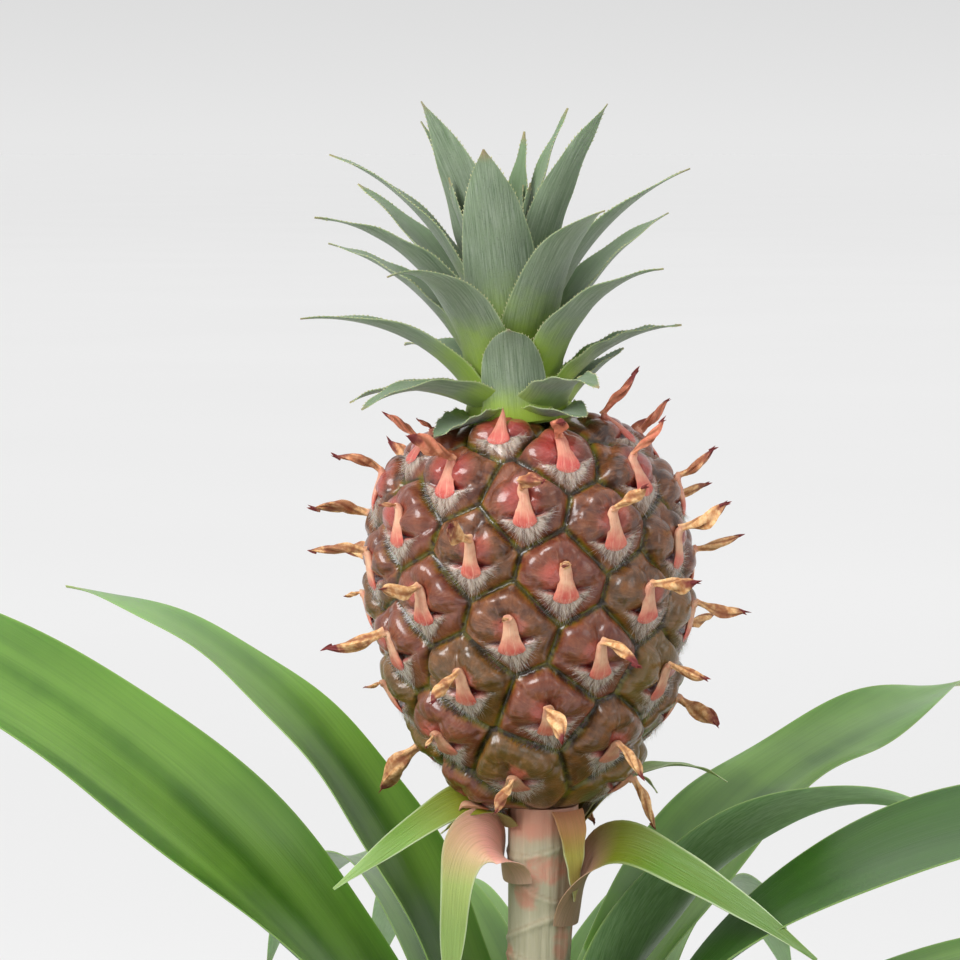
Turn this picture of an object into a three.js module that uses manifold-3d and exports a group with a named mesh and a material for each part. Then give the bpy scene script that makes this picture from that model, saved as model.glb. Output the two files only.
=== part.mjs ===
// A potted ornamental pineapple: a plain planter full of soil, a rosette of strap leaves round a short
// stem, a pale fruit stalk with small bracts, one fruit with its dried flowers, and its leafy crown.
// Millimetres, +Z up. The origin is the centre of the planter's flat bottom, and the front faces -Y.
import * as THREE from "three";
import { ConvexHull } from "three/addons/math/ConvexHull.js";
import { mergeVertices } from "three/addons/utils/BufferGeometryUtils.js";
import Module from "manifold-3d";

const wasm = await Module();
wasm.setup();

// Driving dimensions
const POT_HEIGHT = 112;
const POT_RIM_RADIUS = 66;
const POT_BASE_RADIUS = 47;
const POT_WALL = 4.5;
const SOIL_LEVEL = 101;
const SEAT_GAP = 0.3;
const STEM_RADIUS = 13;
const STALK_RADIUS = 7.5;
const STEM_FOOT = 72;
const FRUIT_BASE = new THREE.Vector3(1.5, 0, 235);
const FRUIT_LEAN = -3.5;
const FRUIT_RADIUS = 34.4;
const FRUIT_WAIST = 53;
const FRUIT_HEIGHT = 88;
const EYE_COUNT = 60;
const EYE_HEIGHT = 3;
const FLOWER_LENGTH = 13;
const CROWN_LEAN = -2;
const CROWN_HEIGHT = 25;
const CROWN_RADIUS = 12;
const CROWN_LEAVES = 38;
const GOLDEN_ANGLE = 137.508;

// Small tools. `chance` is a fixed draw from 0 to 1 for piece n and use k, and `spread` one from -1 to 1.
const radians = THREE.MathUtils.degToRad;
const mix = THREE.MathUtils.lerp;
const smooth = THREE.MathUtils.smoothstep;
const wrap = THREE.MathUtils.euclideanModulo;
const chance = (n, k) => wrap(Math.sin(n * 12.9898 + k * 78.233) * 43758.5453, 1);
const spread = (n, k) => 2 * chance(n, k) - 1;
const polar = (radius, angle, z) => new THREE.Vector3(radius * Math.cos(angle), radius * Math.sin(angle), z);

// A geometry from points and triangles, with its faces turned outwards.
function closedGeometry(points, index) {
  const [a, b, c] = [new THREE.Vector3(), new THREE.Vector3(), new THREE.Vector3()];
  let volume = 0;
  for (let i = 0; i < index.length; i += 3) {
    a.copy(points[index[i]]);
    b.copy(points[index[i + 1]]);
    c.copy(points[index[i + 2]]);
    volume += a.dot(b.cross(c));
  }
  const geometry = new THREE.BufferGeometry().setFromPoints(points);
  geometry.setIndex(volume < 0 ? index.reverse() : index);
  geometry.computeVertexNormals();
  return geometry;
}

// A closed body from rings of points. A blade's ring runs along its upper face and back along its lower
// face, and both faces are split into triangles alike.
function loft(rings, blade = false) {
  const n = rings[0].length;
  const last = (rings.length - 1) * n;
  const index = [];
  for (let i = 0; i + 1 < rings.length; i++) {
    for (let j = 0; j < n; j++) {
      const k = (j + 1) % n;
      const [a, b, c, d] = [i * n + j, i * n + k, (i + 1) * n + k, (i + 1) * n + j];
      if (blade && j >= n / 2) index.push(a, b, d, b, c, d);
      else index.push(a, b, c, a, c, d);
    }
  }
  for (let j = 0; blade && j + 1 < n / 2; j++) {
    const [near, far] = [n - 1 - j, n - 2 - j];
    index.push(j + 1, j, near, j + 1, near, far);
    index.push(last + j, last + j + 1, last + near, last + j + 1, last + far, last + near);
  }
  for (let j = 1; !blade && j + 1 < n; j++) index.push(0, j + 1, j, last, last + j, last + j + 1);
  return closedGeometry(rings.flat(), index);
}

// A body turned round the Z axis from radius and height pairs that start and end on the axis.
function turned(outline, sides) {
  const points = outline.map(([radius, z]) => new THREE.Vector2(radius, z));
  return new THREE.LatheGeometry(points, sides).rotateX(Math.PI / 2);
}

// The solid of a closed geometry, without the triangles that have no area at a lathe's ends.
function solidOf(geometry) {
  const plain = new THREE.BufferGeometry().setAttribute("position", geometry.getAttribute("position"));
  const merged = mergeVertices(plain.setIndex(geometry.index), 1e-4);
  const corners = Array.from(merged.index.array);
  const triVerts = [];
  for (let i = 0; i < corners.length; i += 3) {
    const three = corners.slice(i, i + 3);
    if (new Set(three).size === 3) triVerts.push(...three);
  }
  const vertProperties = merged.attributes.position.array;
  const mesh = new wasm.Mesh({ numProp: 3, vertProperties, triVerts: new Uint32Array(triVerts) });
  return new wasm.Manifold(mesh);
}

// Fuses closed geometries into one body and drops any loose scrap.
function fuse(geometries) {
  const whole = wasm.Manifold.union(geometries.map(solidOf));
  const body = whole.decompose().reduce((most, one) => (one.volume() > most.volume() ? one : most));
  const mesh = body.getMesh();
  const geometry = new THREE.BufferGeometry();
  geometry.setAttribute("position", new THREE.BufferAttribute(new Float32Array(mesh.vertProperties), 3));
  geometry.setIndex(new THREE.BufferAttribute(new Uint32Array(mesh.triVerts), 1));
  geometry.computeVertexNormals();
  return geometry;
}

// Planter: one piece with a rolled rim and a flat bottom
const POT_SIDES = 36;
const RIM_DEPTH = 14;
const RIM_PROUD = 2.5;
const EDGE_ROUND = 2;
const FLOOR_ROUND = 3;
const potOutside = (z) => mix(POT_BASE_RADIUS, POT_RIM_RADIUS - RIM_PROUD, z / POT_HEIGHT);
const potInside = (z) => potOutside(z) - POT_WALL;

function potGeometry() {
  const rimFoot = POT_HEIGHT - RIM_DEPTH;
  const rimInside = potInside(POT_HEIGHT);
  const outline = [
    [0, 0],
    [POT_BASE_RADIUS - EDGE_ROUND, 0],
    [potOutside(EDGE_ROUND), EDGE_ROUND],
    [potOutside(rimFoot), rimFoot],
    [POT_RIM_RADIUS, rimFoot + EDGE_ROUND],
    [POT_RIM_RADIUS, POT_HEIGHT - EDGE_ROUND],
    [POT_RIM_RADIUS - EDGE_ROUND, POT_HEIGHT],
    [rimInside + EDGE_ROUND, POT_HEIGHT],
    [rimInside, POT_HEIGHT - EDGE_ROUND],
    [potInside(POT_WALL + FLOOR_ROUND), POT_WALL + FLOOR_ROUND],
    [potInside(POT_WALL) - FLOOR_ROUND, POT_WALL],
    [0, POT_WALL],
  ];
  return turned(outline, POT_SIDES);
}

// Soil: fills the planter to just under its rim, with a plain hole that the stem stands in
const STEM_HOLE_RADIUS = STEM_RADIUS + 0.5;
function soilGeometry() {
  const foot = POT_WALL + SEAT_GAP;
  const edge = potInside(SOIL_LEVEL) - SEAT_GAP;
  const outline = [
    [0, foot],
    [potInside(foot) - FLOOR_ROUND - SEAT_GAP, foot],
    [potInside(foot + FLOOR_ROUND) - SEAT_GAP, foot + FLOOR_ROUND],
    [edge, SOIL_LEVEL - EDGE_ROUND],
    [edge - 8, SOIL_LEVEL],
    [edge / 2, SOIL_LEVEL + 1.5],
    [STEM_HOLE_RADIUS, SOIL_LEVEL + 2.5],
    [STEM_HOLE_RADIUS, STEM_FOOT - SEAT_GAP],
    [0, STEM_FOOT - SEAT_GAP],
  ];
  return turned(outline, POT_SIDES);
}

// Stem: the short leafy stem and the fruit stalk that it grows into, one piece
const STEM_SIDES = 20;
const STALK_FLARE = 0.9;
const STALK_START = 165;
const STEM_HEIGHTS = [STEM_FOOT, 112, 122, 132, 142, 152, STALK_START, 176, 192, 208, 222];
function stemRadius(z) {
  const flare = STALK_FLARE * smooth(z, FRUIT_BASE.z - 45, FRUIT_BASE.z);
  return mix(STEM_RADIUS, STALK_RADIUS, smooth(z, 118, STALK_START)) + flare;
}

// A point at a distance from the stem's centre line, which bends a little to meet the fruit
function stemPoint(distance, angle, z) {
  const point = polar(distance, angle, z);
  return point.setX(point.x + FRUIT_BASE.x * smooth(z, STALK_START, FRUIT_BASE.z));
}

function stemGeometry() {
  const heights = [...STEM_HEIGHTS, FRUIT_BASE.z - 2 * SEAT_GAP];
  const turn = (2 * Math.PI) / STEM_SIDES;
  const ring = (z) => Array.from({ length: STEM_SIDES }, (_, i) => stemPoint(stemRadius(z), i * turn, z));
  return loft(heights.map(ring));
}

// Which way a leaf runs, and which way its upper face looks, a share t of the way from root to tip. Its
// slope passes through the three values that it has at its root, middle and tip.
function leafFrame(leaf, t) {
  const { azimuth, slopes, sweep = 0, twist = 0 } = leaf;
  const [root, middle, tip] = slopes;
  const slope = radians(root * (1 - t) * (1 - 2 * t) + middle * 4 * t * (1 - t) + tip * t * (2 * t - 1));
  const heading = radians(azimuth + sweep * t * t);
  const turn = radians(twist * smooth(t, 0.05, 0.5));
  const along = polar(Math.cos(slope), heading, Math.sin(slope));
  const up = polar(-Math.sin(slope), heading, Math.cos(slope));
  const side = new THREE.Vector3().crossVectors(up, along);
  side.applyAxisAngle(along, turn);
  up.applyAxisAngle(along, turn);
  return { along, up, side };
}

// A channelled blade of even thickness along its own curved midrib. `outline` gives the share of the
// full width at t, and the root wraps round a stem of radius `rootCurve` before the blade opens.
const MIDRIB_STEPS = 4;
const OPEN_BY = 0.22;
const TIP_WIDTH = 1.2;
const WAVE_TURN = 16;
const WAVE_LAG = 1.3;
function bladeGeometry(leaf) {
  const { length, width, thickness, channel, rings, across, outline, rootWidth, rootCurve, wave = 0 } = leaf;
  const middle = leaf.root.clone();
  const rows = [];
  for (let i = 0; i <= rings; i++) {
    const t = i / rings;
    const { up, side } = leafFrame(leaf, t);
    const opening = smooth(t, 0, OPEN_BY);
    const span = Math.max(mix(rootWidth, width, opening) * outline(t), TIP_WIDTH);
    const curve = mix(rootCurve, channel * width, opening);
    const row = [];
    for (const [depth, order] of [[0, 1], [thickness, -1]]) {
      for (let j = 0; j < across; j++) {
        const share = order * ((2 * j) / (across - 1) - 1);
        const angle = (share * span) / (2 * curve);
        const lift = opening * wave * share * share * Math.sin(WAVE_TURN * t + WAVE_LAG * share);
        const reach = curve + depth;
        const point = middle.clone().addScaledVector(side, reach * Math.sin(angle));
        row.push(point.addScaledVector(up, curve - reach * Math.cos(angle) + lift));
      }
    }
    rows.push(row);
    for (let k = 0; k < MIDRIB_STEPS; k++) {
      const { along } = leafFrame(leaf, (i + (k + 0.5) / MIDRIB_STEPS) / rings);
      middle.addScaledVector(along, length / rings / MIDRIB_STEPS);
    }
  }
  return loft(rows, true);
}

// A blade whose root is seated on the stem
function seatedBlade(leaf) {
  const seat = stemRadius(leaf.base) + SEAT_GAP;
  return bladeGeometry({ ...leaf, root: stemPoint(seat, radians(leaf.azimuth), leaf.base), rootCurve: seat });
}

// Strap leaves, from the outermost at the soil to the innermost: the azimuth from +X in degrees, the
// height of the root, the blade's length and width, its slopes at root, middle and tip, how far it
// sweeps sideways and twists, and the height of the wave in its edges
const STRAP_LEAVES = [
  { azimuth: 255, base: 107, length: 215, width: 30, slopes: [48, 10, -58], sweep: 12 },
  { azimuth: 30, base: 110, length: 225, width: 31, slopes: [50, 12, -60], sweep: -10 },
  { azimuth: 152, base: 113, length: 225, width: 31, slopes: [50, 14, -58], sweep: 14 },
  { azimuth: 303, base: 116, length: 240, width: 32, slopes: [54, 14, -56], sweep: -12 },
  { azimuth: 100, base: 119, length: 225, width: 32, slopes: [56, 14, -62], sweep: 10 },
  { azimuth: 205, base: 122, length: 245, width: 33, slopes: [58, 16, -52], sweep: 10 },
  { azimuth: 8, base: 125, length: 250, width: 33, slopes: [60, 8, -50], sweep: 8 },
  { azimuth: 70, base: 128, length: 215, width: 32, slopes: [60, 12, -66], sweep: -12 },
  { azimuth: 230, base: 130, length: 230, width: 33, slopes: [62, 10, -62], sweep: 10 },
  { azimuth: 341, base: 134, length: 268, width: 34, slopes: [84, 20, -28], twist: 16 },
  { azimuth: 178, base: 137, length: 280, width: 38, slopes: [66, 37, 8], sweep: -6, twist: -45 },
  { azimuth: 268, base: 136, length: 210, width: 31, slopes: [62, 8, -70], sweep: -10 },
  { azimuth: 112, base: 139, length: 200, width: 31, slopes: [66, 12, -70], sweep: 12 },
  { azimuth: 156, base: 148, length: 190, width: 27, slopes: [80, 51, 4], sweep: -4, twist: -15 },
  { azimuth: 54, base: 146, length: 215, width: 26, slopes: [74, 22, 6], sweep: -6, twist: 28, wave: 2.5 },
  { azimuth: 5, base: 152, length: 140, width: 32, slopes: [80, 48, -34], twist: -50, taper: 0.9 },
];
const STRAP_TAPER_FROM = 0.3;
const STRAP_BLADE = { thickness: 1.2, channel: 0.72, rings: 8, across: 5, rootWidth: 12, taper: 1.7 };
function strapLeafGeometry(leaf) {
  const blade = { ...STRAP_BLADE, ...leaf };
  const past = (t) => Math.max(0, t - STRAP_TAPER_FROM) / (1 - STRAP_TAPER_FROM);
  return seatedBlade({ ...blade, outline: (t) => 1 - past(t) ** blade.taper });
}

// Stalk bracts: small leaves on the fruit stalk, their roots a little below the fruit
const STALK_BRACTS = [
  { azimuth: 214, base: 222, length: 62, width: 12, slopes: [30, -52, -84] },
  { azimuth: 328, base: 212, length: 80, width: 15, slopes: [64, -6, -46], sweep: -20 },
  { azimuth: 198, base: 231, length: 42, width: 10, slopes: [2, -20, -46] },
  { azimuth: 290, base: 231, length: 24, width: 8, slopes: [-30, -80, -88] },
  { azimuth: 36, base: 229, length: 56, width: 8, slopes: [44, 18, -20] },
  { azimuth: 92, base: 226, length: 46, width: 10, slopes: [30, -24, -66] },
  { azimuth: 142, base: 231, length: 26, width: 8, slopes: [24, -10, -40] },
];
const bractOutline = (t) => 1 - t ** 1.8;
const BRACT_BLADE = { thickness: 0.8, channel: 0.8, rings: 7, across: 3, outline: bractOutline };
const stalkBractGeometry = (leaf) => seatedBlade({ ...BRACT_BLADE, ...leaf, rootWidth: 0.55 * leaf.width });

// Fruit: a barrel covered with eyes. Its outline between the eyes is two rounded curves that meet at the
// waist, sampled as radius and height with the length walked, the room for eyes and the growth of
// longitude, all counted from the foot.
const PROFILE_STEPS = 60;
const LOWER_REACH = 56;
const LOWER_ROUND = 1.2;
const UPPER_ROUND = 0.8;
const UPPER_RISE = 0.75;
const LOW_EYE_SIZE = 1.12;
const TOP_EYE_SIZE = 0.92;
function fruitProfile() {
  const samples = [{ r: 0, z: 0 }];
  for (let i = 0; i <= PROFILE_STEPS; i++) {
    const turn = Math.asin(FRUIT_WAIST / LOWER_REACH) * (1 - i / PROFILE_STEPS);
    const z = FRUIT_WAIST - LOWER_REACH * Math.sin(turn);
    samples.push({ r: FRUIT_RADIUS * Math.cos(turn) ** LOWER_ROUND, z });
  }
  for (let i = 1; i <= PROFILE_STEPS; i++) {
    const turn = (Math.PI / 2) * (i / PROFILE_STEPS);
    const z = FRUIT_WAIST + (FRUIT_HEIGHT - FRUIT_WAIST) * Math.sin(turn) ** UPPER_RISE;
    samples.push({ r: FRUIT_RADIUS * Math.max(Math.cos(turn), 0) ** UPPER_ROUND, z });
  }
  let [walked, room, longitude] = [0, 0, 0];
  samples.forEach((now, i) => {
    const before = samples[Math.max(i - 1, 0)];
    const step = Math.hypot(now.r - before.r, now.z - before.z);
    const radius = (now.r + before.r) / 2;
    walked += step;
    room += (2 * Math.PI * radius * step) / mix(LOW_EYE_SIZE, TOP_EYE_SIZE, now.z / FRUIT_HEIGHT) ** 2;
    longitude += step / Math.max(radius, 0.5);
    Object.assign(now, { walked, room, longitude });
  });
  return samples;
}
const profile = fruitProfile();

// The outline at a given value of one of its growing columns
function profileAt(column, value) {
  const found = profile.findIndex((sample) => sample[column] >= value);
  const i = THREE.MathUtils.clamp(found < 0 ? profile.length - 1 : found, 1, profile.length - 1);
  const [a, b] = [profile[i - 1], profile[i]];
  const share = THREE.MathUtils.clamp((value - a[column]) / Math.max(b[column] - a[column], 1e-9), 0, 1);
  const at = { slope: Math.atan2(b.z - a.z, b.r - a.r) };
  for (const key of Object.keys(a)) at[key] = mix(a[key], b[key], share);
  return at;
}

// A point of the fruit, at a height above its grooves
function fruitPoint(walked, angle, height = 0) {
  const at = profileAt("walked", walked);
  return polar(at.r + height * Math.sin(at.slope), angle, at.z - height * Math.cos(at.slope));
}

// The eyes, in the spirals of the golden angle, each with the same share of the room
const EYES_FROM_RADIUS = 12;
const EYES_TO_RADIUS = 16;
const FIRST_EYE_ANGLE = 64;
function fruitEyes() {
  const start = profile.find((sample) => sample.r >= EYES_FROM_RADIUS).room;
  const end = profile.findLast((sample) => sample.r >= EYES_TO_RADIUS).room;
  return Array.from({ length: EYE_COUNT }, (_, n) => {
    const at = profileAt("room", mix(start, end, (n + 0.5) / EYE_COUNT));
    return { ...at, n, angle: radians(FIRST_EYE_ANGLE + GOLDEN_ANGLE * n) };
  });
}

// Neighbouring eyes, found on a ball that keeps the angles between them: each face of its hull joins
// three. The two last spots are the fruit's foot and top.
function neighboursOf(spots) {
  const waist = profileAt("z", FRUIT_WAIST).longitude;
  const points = spots.map(({ angle, longitude }) => {
    if (angle === undefined) return new THREE.Vector3(0, 0, longitude > waist ? 1 : -1);
    const latitude = 2 * Math.atan(Math.exp(longitude - waist)) - Math.PI / 2;
    return polar(Math.cos(latitude), angle, Math.sin(latitude));
  });
  const hull = new ConvexHull().setFromPoints(points);
  return hull.faces.map((face) => [0, 1, 2].map((i) => points.indexOf(face.getEdge(i).head().point)));
}

// The fruit's skin: a domed cell for each eye, with a groove round it, and a flat cell at each end
const EYE_RINGS = [[0.86, 0.7], [0.5, 1]];
function fruitBodyGeometry(eyes) {
  const spots = [...eyes, profile[0], profile.at(-1)];
  const points = [];
  const index = [];
  const add = (point) => points.push(point) - 1;
  const closeTo = (angle, other) => other + wrap(angle - other + Math.PI, 2 * Math.PI) - Math.PI;
  const corners = neighboursOf(spots).map((face) => {
    const three = face.map((i) => spots[i]);
    const angles = three.map((spot) => spot.angle).filter((angle) => angle !== undefined);
    const angle = angles.reduce((sum, other) => sum + closeTo(other, angles[0]), 0) / angles.length;
    const walked = three.reduce((sum, spot) => sum + spot.walked, 0) / 3;
    return { face, walked, angle, at: add(fruitPoint(walked, angle)) };
  });
  spots.forEach((spot, i) => {
    const around = corners.filter((corner) => corner.face.includes(i));
    const loop = [around[0]];
    while (loop.length < around.length) {
      const { face } = loop.at(-1);
      const onward = face[(face.indexOf(i) + 2) % 3];
      loop.push(around.find(({ face: next }) => next[(next.indexOf(i) + 1) % 3] === onward));
    }
    const isEye = spot.angle !== undefined;
    const middle = add(fruitPoint(spot.walked, spot.angle ?? 0, isEye ? EYE_HEIGHT : 0));
    const rings = [loop.map(({ at }) => at)];
    for (const [share, height] of isEye ? EYE_RINGS : []) {
      const inward = ({ walked, angle }) =>
        fruitPoint(
          mix(spot.walked, walked, share),
          mix(spot.angle, closeTo(angle, spot.angle), share),
          height * EYE_HEIGHT,
        );
      rings.push(loop.map((corner) => add(inward(corner))));
    }
    loop.forEach((_, j) => {
      const k = (j + 1) % loop.length;
      for (let ring = 1; ring < rings.length; ring++) {
        const [outer, inner] = [rings[ring - 1], rings[ring]];
        index.push(outer[j], outer[k], inner[k], outer[j], inner[k], inner[j]);
      }
      index.push(rings.at(-1)[j], rings.at(-1)[k], middle);
    });
  });
  return closedGeometry(points, index);
}

// The bract in the lower half of an eye and the dried flower on its tip, one slender four-sided body.
// Flowers stand up near the crown and hang near the stalk, and some are broken short.
const BRACT_DROP = 4.5;
const NECK_HEIGHT = 2.4;
const FLOWER_SECTIONS = [[3.2, 1.5], [2, 1.2], [0.9, 0.7], [1.8, 1], [0.5, 0.4]];
function flowerGeometry(eye) {
  const heading = eye.angle + radians(24) * spread(eye.n, 1);
  const slope = radians(mix(-58, 46, eye.z / FRUIT_HEIGHT) + 14 * spread(eye.n, 2));
  const length = FLOWER_LENGTH * (chance(eye.n, 3) < 0.12 ? 0.35 : mix(0.8, 1.15, chance(eye.n, 4)));
  const outward = polar(Math.cos(slope), heading, Math.sin(slope));
  const neck = fruitPoint(eye.walked, eye.angle, EYE_HEIGHT + NECK_HEIGHT);
  const spine = [
    fruitPoint(eye.walked - BRACT_DROP, eye.angle, 0),
    fruitPoint(eye.walked - BRACT_DROP / 2, eye.angle, EYE_HEIGHT + 1),
    neck,
    neck.clone().addScaledVector(outward, 0.45 * length),
    neck.clone().addScaledVector(outward, length),
  ];
  const side = polar(1, eye.angle + Math.PI / 2, 0);
  const rings = spine.map((point, i) => {
    const along = spine[Math.min(i + 1, spine.length - 1)].clone().sub(spine[Math.max(i - 1, 0)]);
    const out = new THREE.Vector3().crossVectors(along, side).normalize();
    const [wide, thick] = FLOWER_SECTIONS[i];
    const ring = [[wide, 0], [0, thick], [-wide, 0], [0, -thick]];
    return ring.map(([x, y]) => point.clone().addScaledVector(side, x).addScaledVector(out, y));
  });
  return loft(rings);
}

// The topmost eyes carry no flower under the crown, and two have dropped theirs beside the stalk bracts.
const FLOWERS_END = 3;
const DROPPED_FLOWERS = [1, 5];
function fruitGeometry() {
  const eyes = fruitEyes();
  const flowering = eyes.filter(({ n, z }) => z < FRUIT_HEIGHT - FLOWERS_END && !DROPPED_FLOWERS.includes(n));
  return fuse([fruitBodyGeometry(eyes), ...flowering.map(flowerGeometry)]);
}

// Crown: a short core with leaves in the same spiral, spreading at the foot and upright inside. q runs
// from 0 at the outermost leaf to 1 at the innermost.
const FIRST_CROWN_ANGLE = -87 - 10 * GOLDEN_ANGLE;
const CROWN_BLADE = { thickness: 0.8, channel: 0.62, rings: 4, across: 3, taper: 2.1 };
// What sets a leaf apart from the rule: degrees that it turns round the core, millimetres that its root
// lies further out or lower, and its own length, width, slopes, sweep or taper
const CROWN_CHANGES = new Map([
  [0, { length: 15 }],
  [1, { length: 19, slopes: [34, 16, -10] }],
  [2, { turn: -12, out: 1, length: 21, width: 17, slopes: [14, -8, -60] }],
  [3, { turn: -14, out: 2, length: 19, slopes: [48, 36, 24] }],
  [4, { length: 33, slopes: [34, 8, -24] }],
  [5, { turn: -4, out: 1, drop: 2, length: 27, width: 16, slopes: [52, 20, -30] }],
  [7, { turn: -6, out: 1, drop: 2, length: 36, slopes: [40, 8, -26] }],
  [8, { out: 2, length: 33, slopes: [50, 24, -4] }],
  [9, { out: 2, length: 31, slopes: [56, 26, -10] }],
  [10, { turn: -3, out: 4.5, drop: 5.5, length: 34, width: 16, slopes: [88, 72, -84], sweep: 0, taper: 4.5 }],
  [11, { turn: 12, out: 2, length: 35, slopes: [60, 32, 4] }],
  [12, { out: 4, length: 45, slopes: [62, 28, 0] }],
  [13, { turn: -4, out: 3, length: 43, slopes: [68, 36, 2], sweep: 4 }],
  [15, { turn: -10, out: 4, length: 46, slopes: [80, 46, -14], sweep: -4 }],
  [16, { turn: 8, out: 1.5, length: 52, slopes: [68, 42, 18], sweep: 6 }],
  [17, { turn: 12, out: 3, length: 49, slopes: [72, 47, 18], sweep: 0 }],
  [18, { turn: 10, out: 1, length: 55, slopes: [74, 46, 6], sweep: -4 }],
  [19, { length: 48 }],
  [20, { out: 2, length: 59, slopes: [72, 47, 8], sweep: -4 }],
  [21, { turn: -4, length: 61, slopes: [72, 46, 16], sweep: 2 }],
  [22, { turn: 24, out: 1, length: 56, slopes: [70, 54, 37], sweep: 4 }],
  [23, { turn: 1, out: 3, length: 50, width: 19, slopes: [82, 82, 78], sweep: 0 }],
  [24, { turn: 4, length: 54, slopes: [78, 64, 60] }],
  [25, { out: 1.5, length: 63, slopes: [82, 59, 24] }],
  [26, { turn: -4, length: 66, width: 13.5, slopes: [88, 59, 40] }],
  [27, { length: 44 }],
  [28, { turn: 4, length: 63, width: 19, slopes: [82, 71, 56], sweep: -4 }],
  [29, { turn: 12, length: 57, slopes: [84, 75, 54], sweep: 4 }],
  [30, { length: 57, slopes: [82, 72, 58] }],
  [31, { length: 32, slopes: [88, 90, 92] }],
  [32, { turn: -14, length: 49, slopes: [86, 80, 70] }],
  [33, { length: 40 }],
  [34, { length: 36 }],
  [35, { length: 36 }],
  [36, { length: 32, slopes: [88, 90, 92] }],
  [37, { length: 34 }],
]);

function crownLeafGeometry(n) {
  const q = n / (CROWN_LEAVES - 1);
  const { turn = 0, out = 0, drop = 0, ...own } = CROWN_CHANGES.get(n) ?? {};
  const azimuth = FIRST_CROWN_ANGLE + GOLDEN_ANGLE * n + turn;
  const radius = Math.max(mix(CROWN_RADIUS, 2, q) - 2, 1) + out;
  const length = mix(25, 51, smooth(q, -0.1, 0.4)) + 12 * smooth(q, 0.45, 0.7) - 18 * smooth(q, 0.72, 1);
  const rootSlope = mix(20, 88, q ** 0.6) + 4 * spread(n, 7);
  const middleSlope = mix(2, 84, q ** 1.2) + 5 * spread(n, 8);
  const tipSlope = mix(-55, 0, smooth(q, -0.2, 0.5)) + 80 * smooth(q, 0.55, 0.85) + 10 * spread(n, 10);
  const leaf = {
    ...CROWN_BLADE,
    root: polar(radius, radians(azimuth), 1.5 + (CROWN_HEIGHT - 6) * q ** 0.9 - drop),
    azimuth,
    length: length * (1 + 0.07 * spread(n, 6)),
    width: mix(14, 17, smooth(q, 0, 0.3)) * mix(1, 0.62, smooth(q, 0.55, 1)),
    slopes: [rootSlope, middleSlope, tipSlope],
    sweep: 10 * spread(n, 9),
    rootCurve: Math.max(radius + 3, 6),
    ...own,
  };
  return bladeGeometry({ ...leaf, rootWidth: 0.85 * leaf.width, outline: (t) => 1 - t ** leaf.taper });
}

function crownGeometry() {
  const outline = [
    [0, 0],
    [CROWN_RADIUS, 0],
    [CROWN_RADIUS + 1.5, 3],
    [CROWN_RADIUS - 2, 14],
    [3, CROWN_HEIGHT],
    [0, CROWN_HEIGHT],
  ];
  return fuse([turned(outline, 10), ...Array.from({ length: CROWN_LEAVES }, (_, n) => crownLeafGeometry(n))]);
}

// Finishes
const finish = (color, roughness) => new THREE.MeshStandardMaterial({ color, roughness, metalness: 0 });
const glaze = finish(0xe6e1d6, 0.3);
const earth = finish(0x3a2a1e, 0.95);
const paleStem = finish(0xd5d3c2, 0.5);
const leafGreen = finish(0x3f7a1c, 0.4);
const bractGreen = finish(0x86a83a, 0.5);
const fruitSkin = finish(0x8a5a48, 0.45);
const crownGreen = finish(0x8fa98c, 0.6);

function part(name, geometry, material) {
  const mesh = new THREE.Mesh(geometry, material);
  mesh.name = name;
  return mesh;
}

const plant = new THREE.Group();
plant.add(part("pot", potGeometry(), glaze));
plant.add(part("soil", soilGeometry(), earth));
plant.add(part("stem", stemGeometry(), paleStem));
STRAP_LEAVES.forEach((leaf, i) => {
  plant.add(part(`strap_leaf_${i + 1}`, strapLeafGeometry(leaf), leafGreen));
});
STALK_BRACTS.forEach((leaf, i) => {
  plant.add(part(`stalk_bract_${i + 1}`, stalkBractGeometry(leaf), bractGreen));
});

// The fruit leans on its stalk, and the crown leans a little more on the fruit.
const fruitGroup = new THREE.Group();
fruitGroup.position.copy(FRUIT_BASE);
fruitGroup.rotation.y = radians(FRUIT_LEAN);
fruitGroup.add(part("fruit", fruitGeometry(), fruitSkin));

const crownGroup = new THREE.Group();
crownGroup.position.z = FRUIT_HEIGHT + SEAT_GAP;
crownGroup.rotation.y = radians(CROWN_LEAN);
crownGroup.add(part("crown", crownGeometry(), crownGreen));
fruitGroup.add(crownGroup);
plant.add(fruitGroup);

export default plant;
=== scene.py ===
import math

import bmesh
import bpy
import numpy as np
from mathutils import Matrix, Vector


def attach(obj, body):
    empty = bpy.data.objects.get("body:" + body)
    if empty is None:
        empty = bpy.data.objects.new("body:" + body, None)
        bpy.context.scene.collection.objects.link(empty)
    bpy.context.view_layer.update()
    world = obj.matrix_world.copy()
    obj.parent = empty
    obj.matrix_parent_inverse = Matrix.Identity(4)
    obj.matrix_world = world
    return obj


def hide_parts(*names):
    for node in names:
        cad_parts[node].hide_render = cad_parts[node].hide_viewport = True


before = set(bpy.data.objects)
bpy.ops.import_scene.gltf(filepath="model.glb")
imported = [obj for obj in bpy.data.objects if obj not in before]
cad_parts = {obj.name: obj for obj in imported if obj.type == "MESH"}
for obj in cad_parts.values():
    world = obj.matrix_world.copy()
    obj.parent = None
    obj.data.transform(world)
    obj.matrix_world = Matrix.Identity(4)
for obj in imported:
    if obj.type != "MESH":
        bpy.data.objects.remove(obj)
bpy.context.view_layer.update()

# Pot
# A plain tapered planter of glazed stoneware, thrown in one piece with a rolled rim and a flat foot. The
# plant stands in its soil, and nothing fixes one to the other. Sizes are in millimetres throughout.
MM = 0.001
POT_HEIGHT = 112
POT_RIM_RADIUS = 66
POT_BASE_RADIUS = 47
POT_WALL = 4.5
RIM_DEPTH = 14
RIM_PROUD = 2.5
POT_SIDES = 160
CORNER_STEPS = 6


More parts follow.
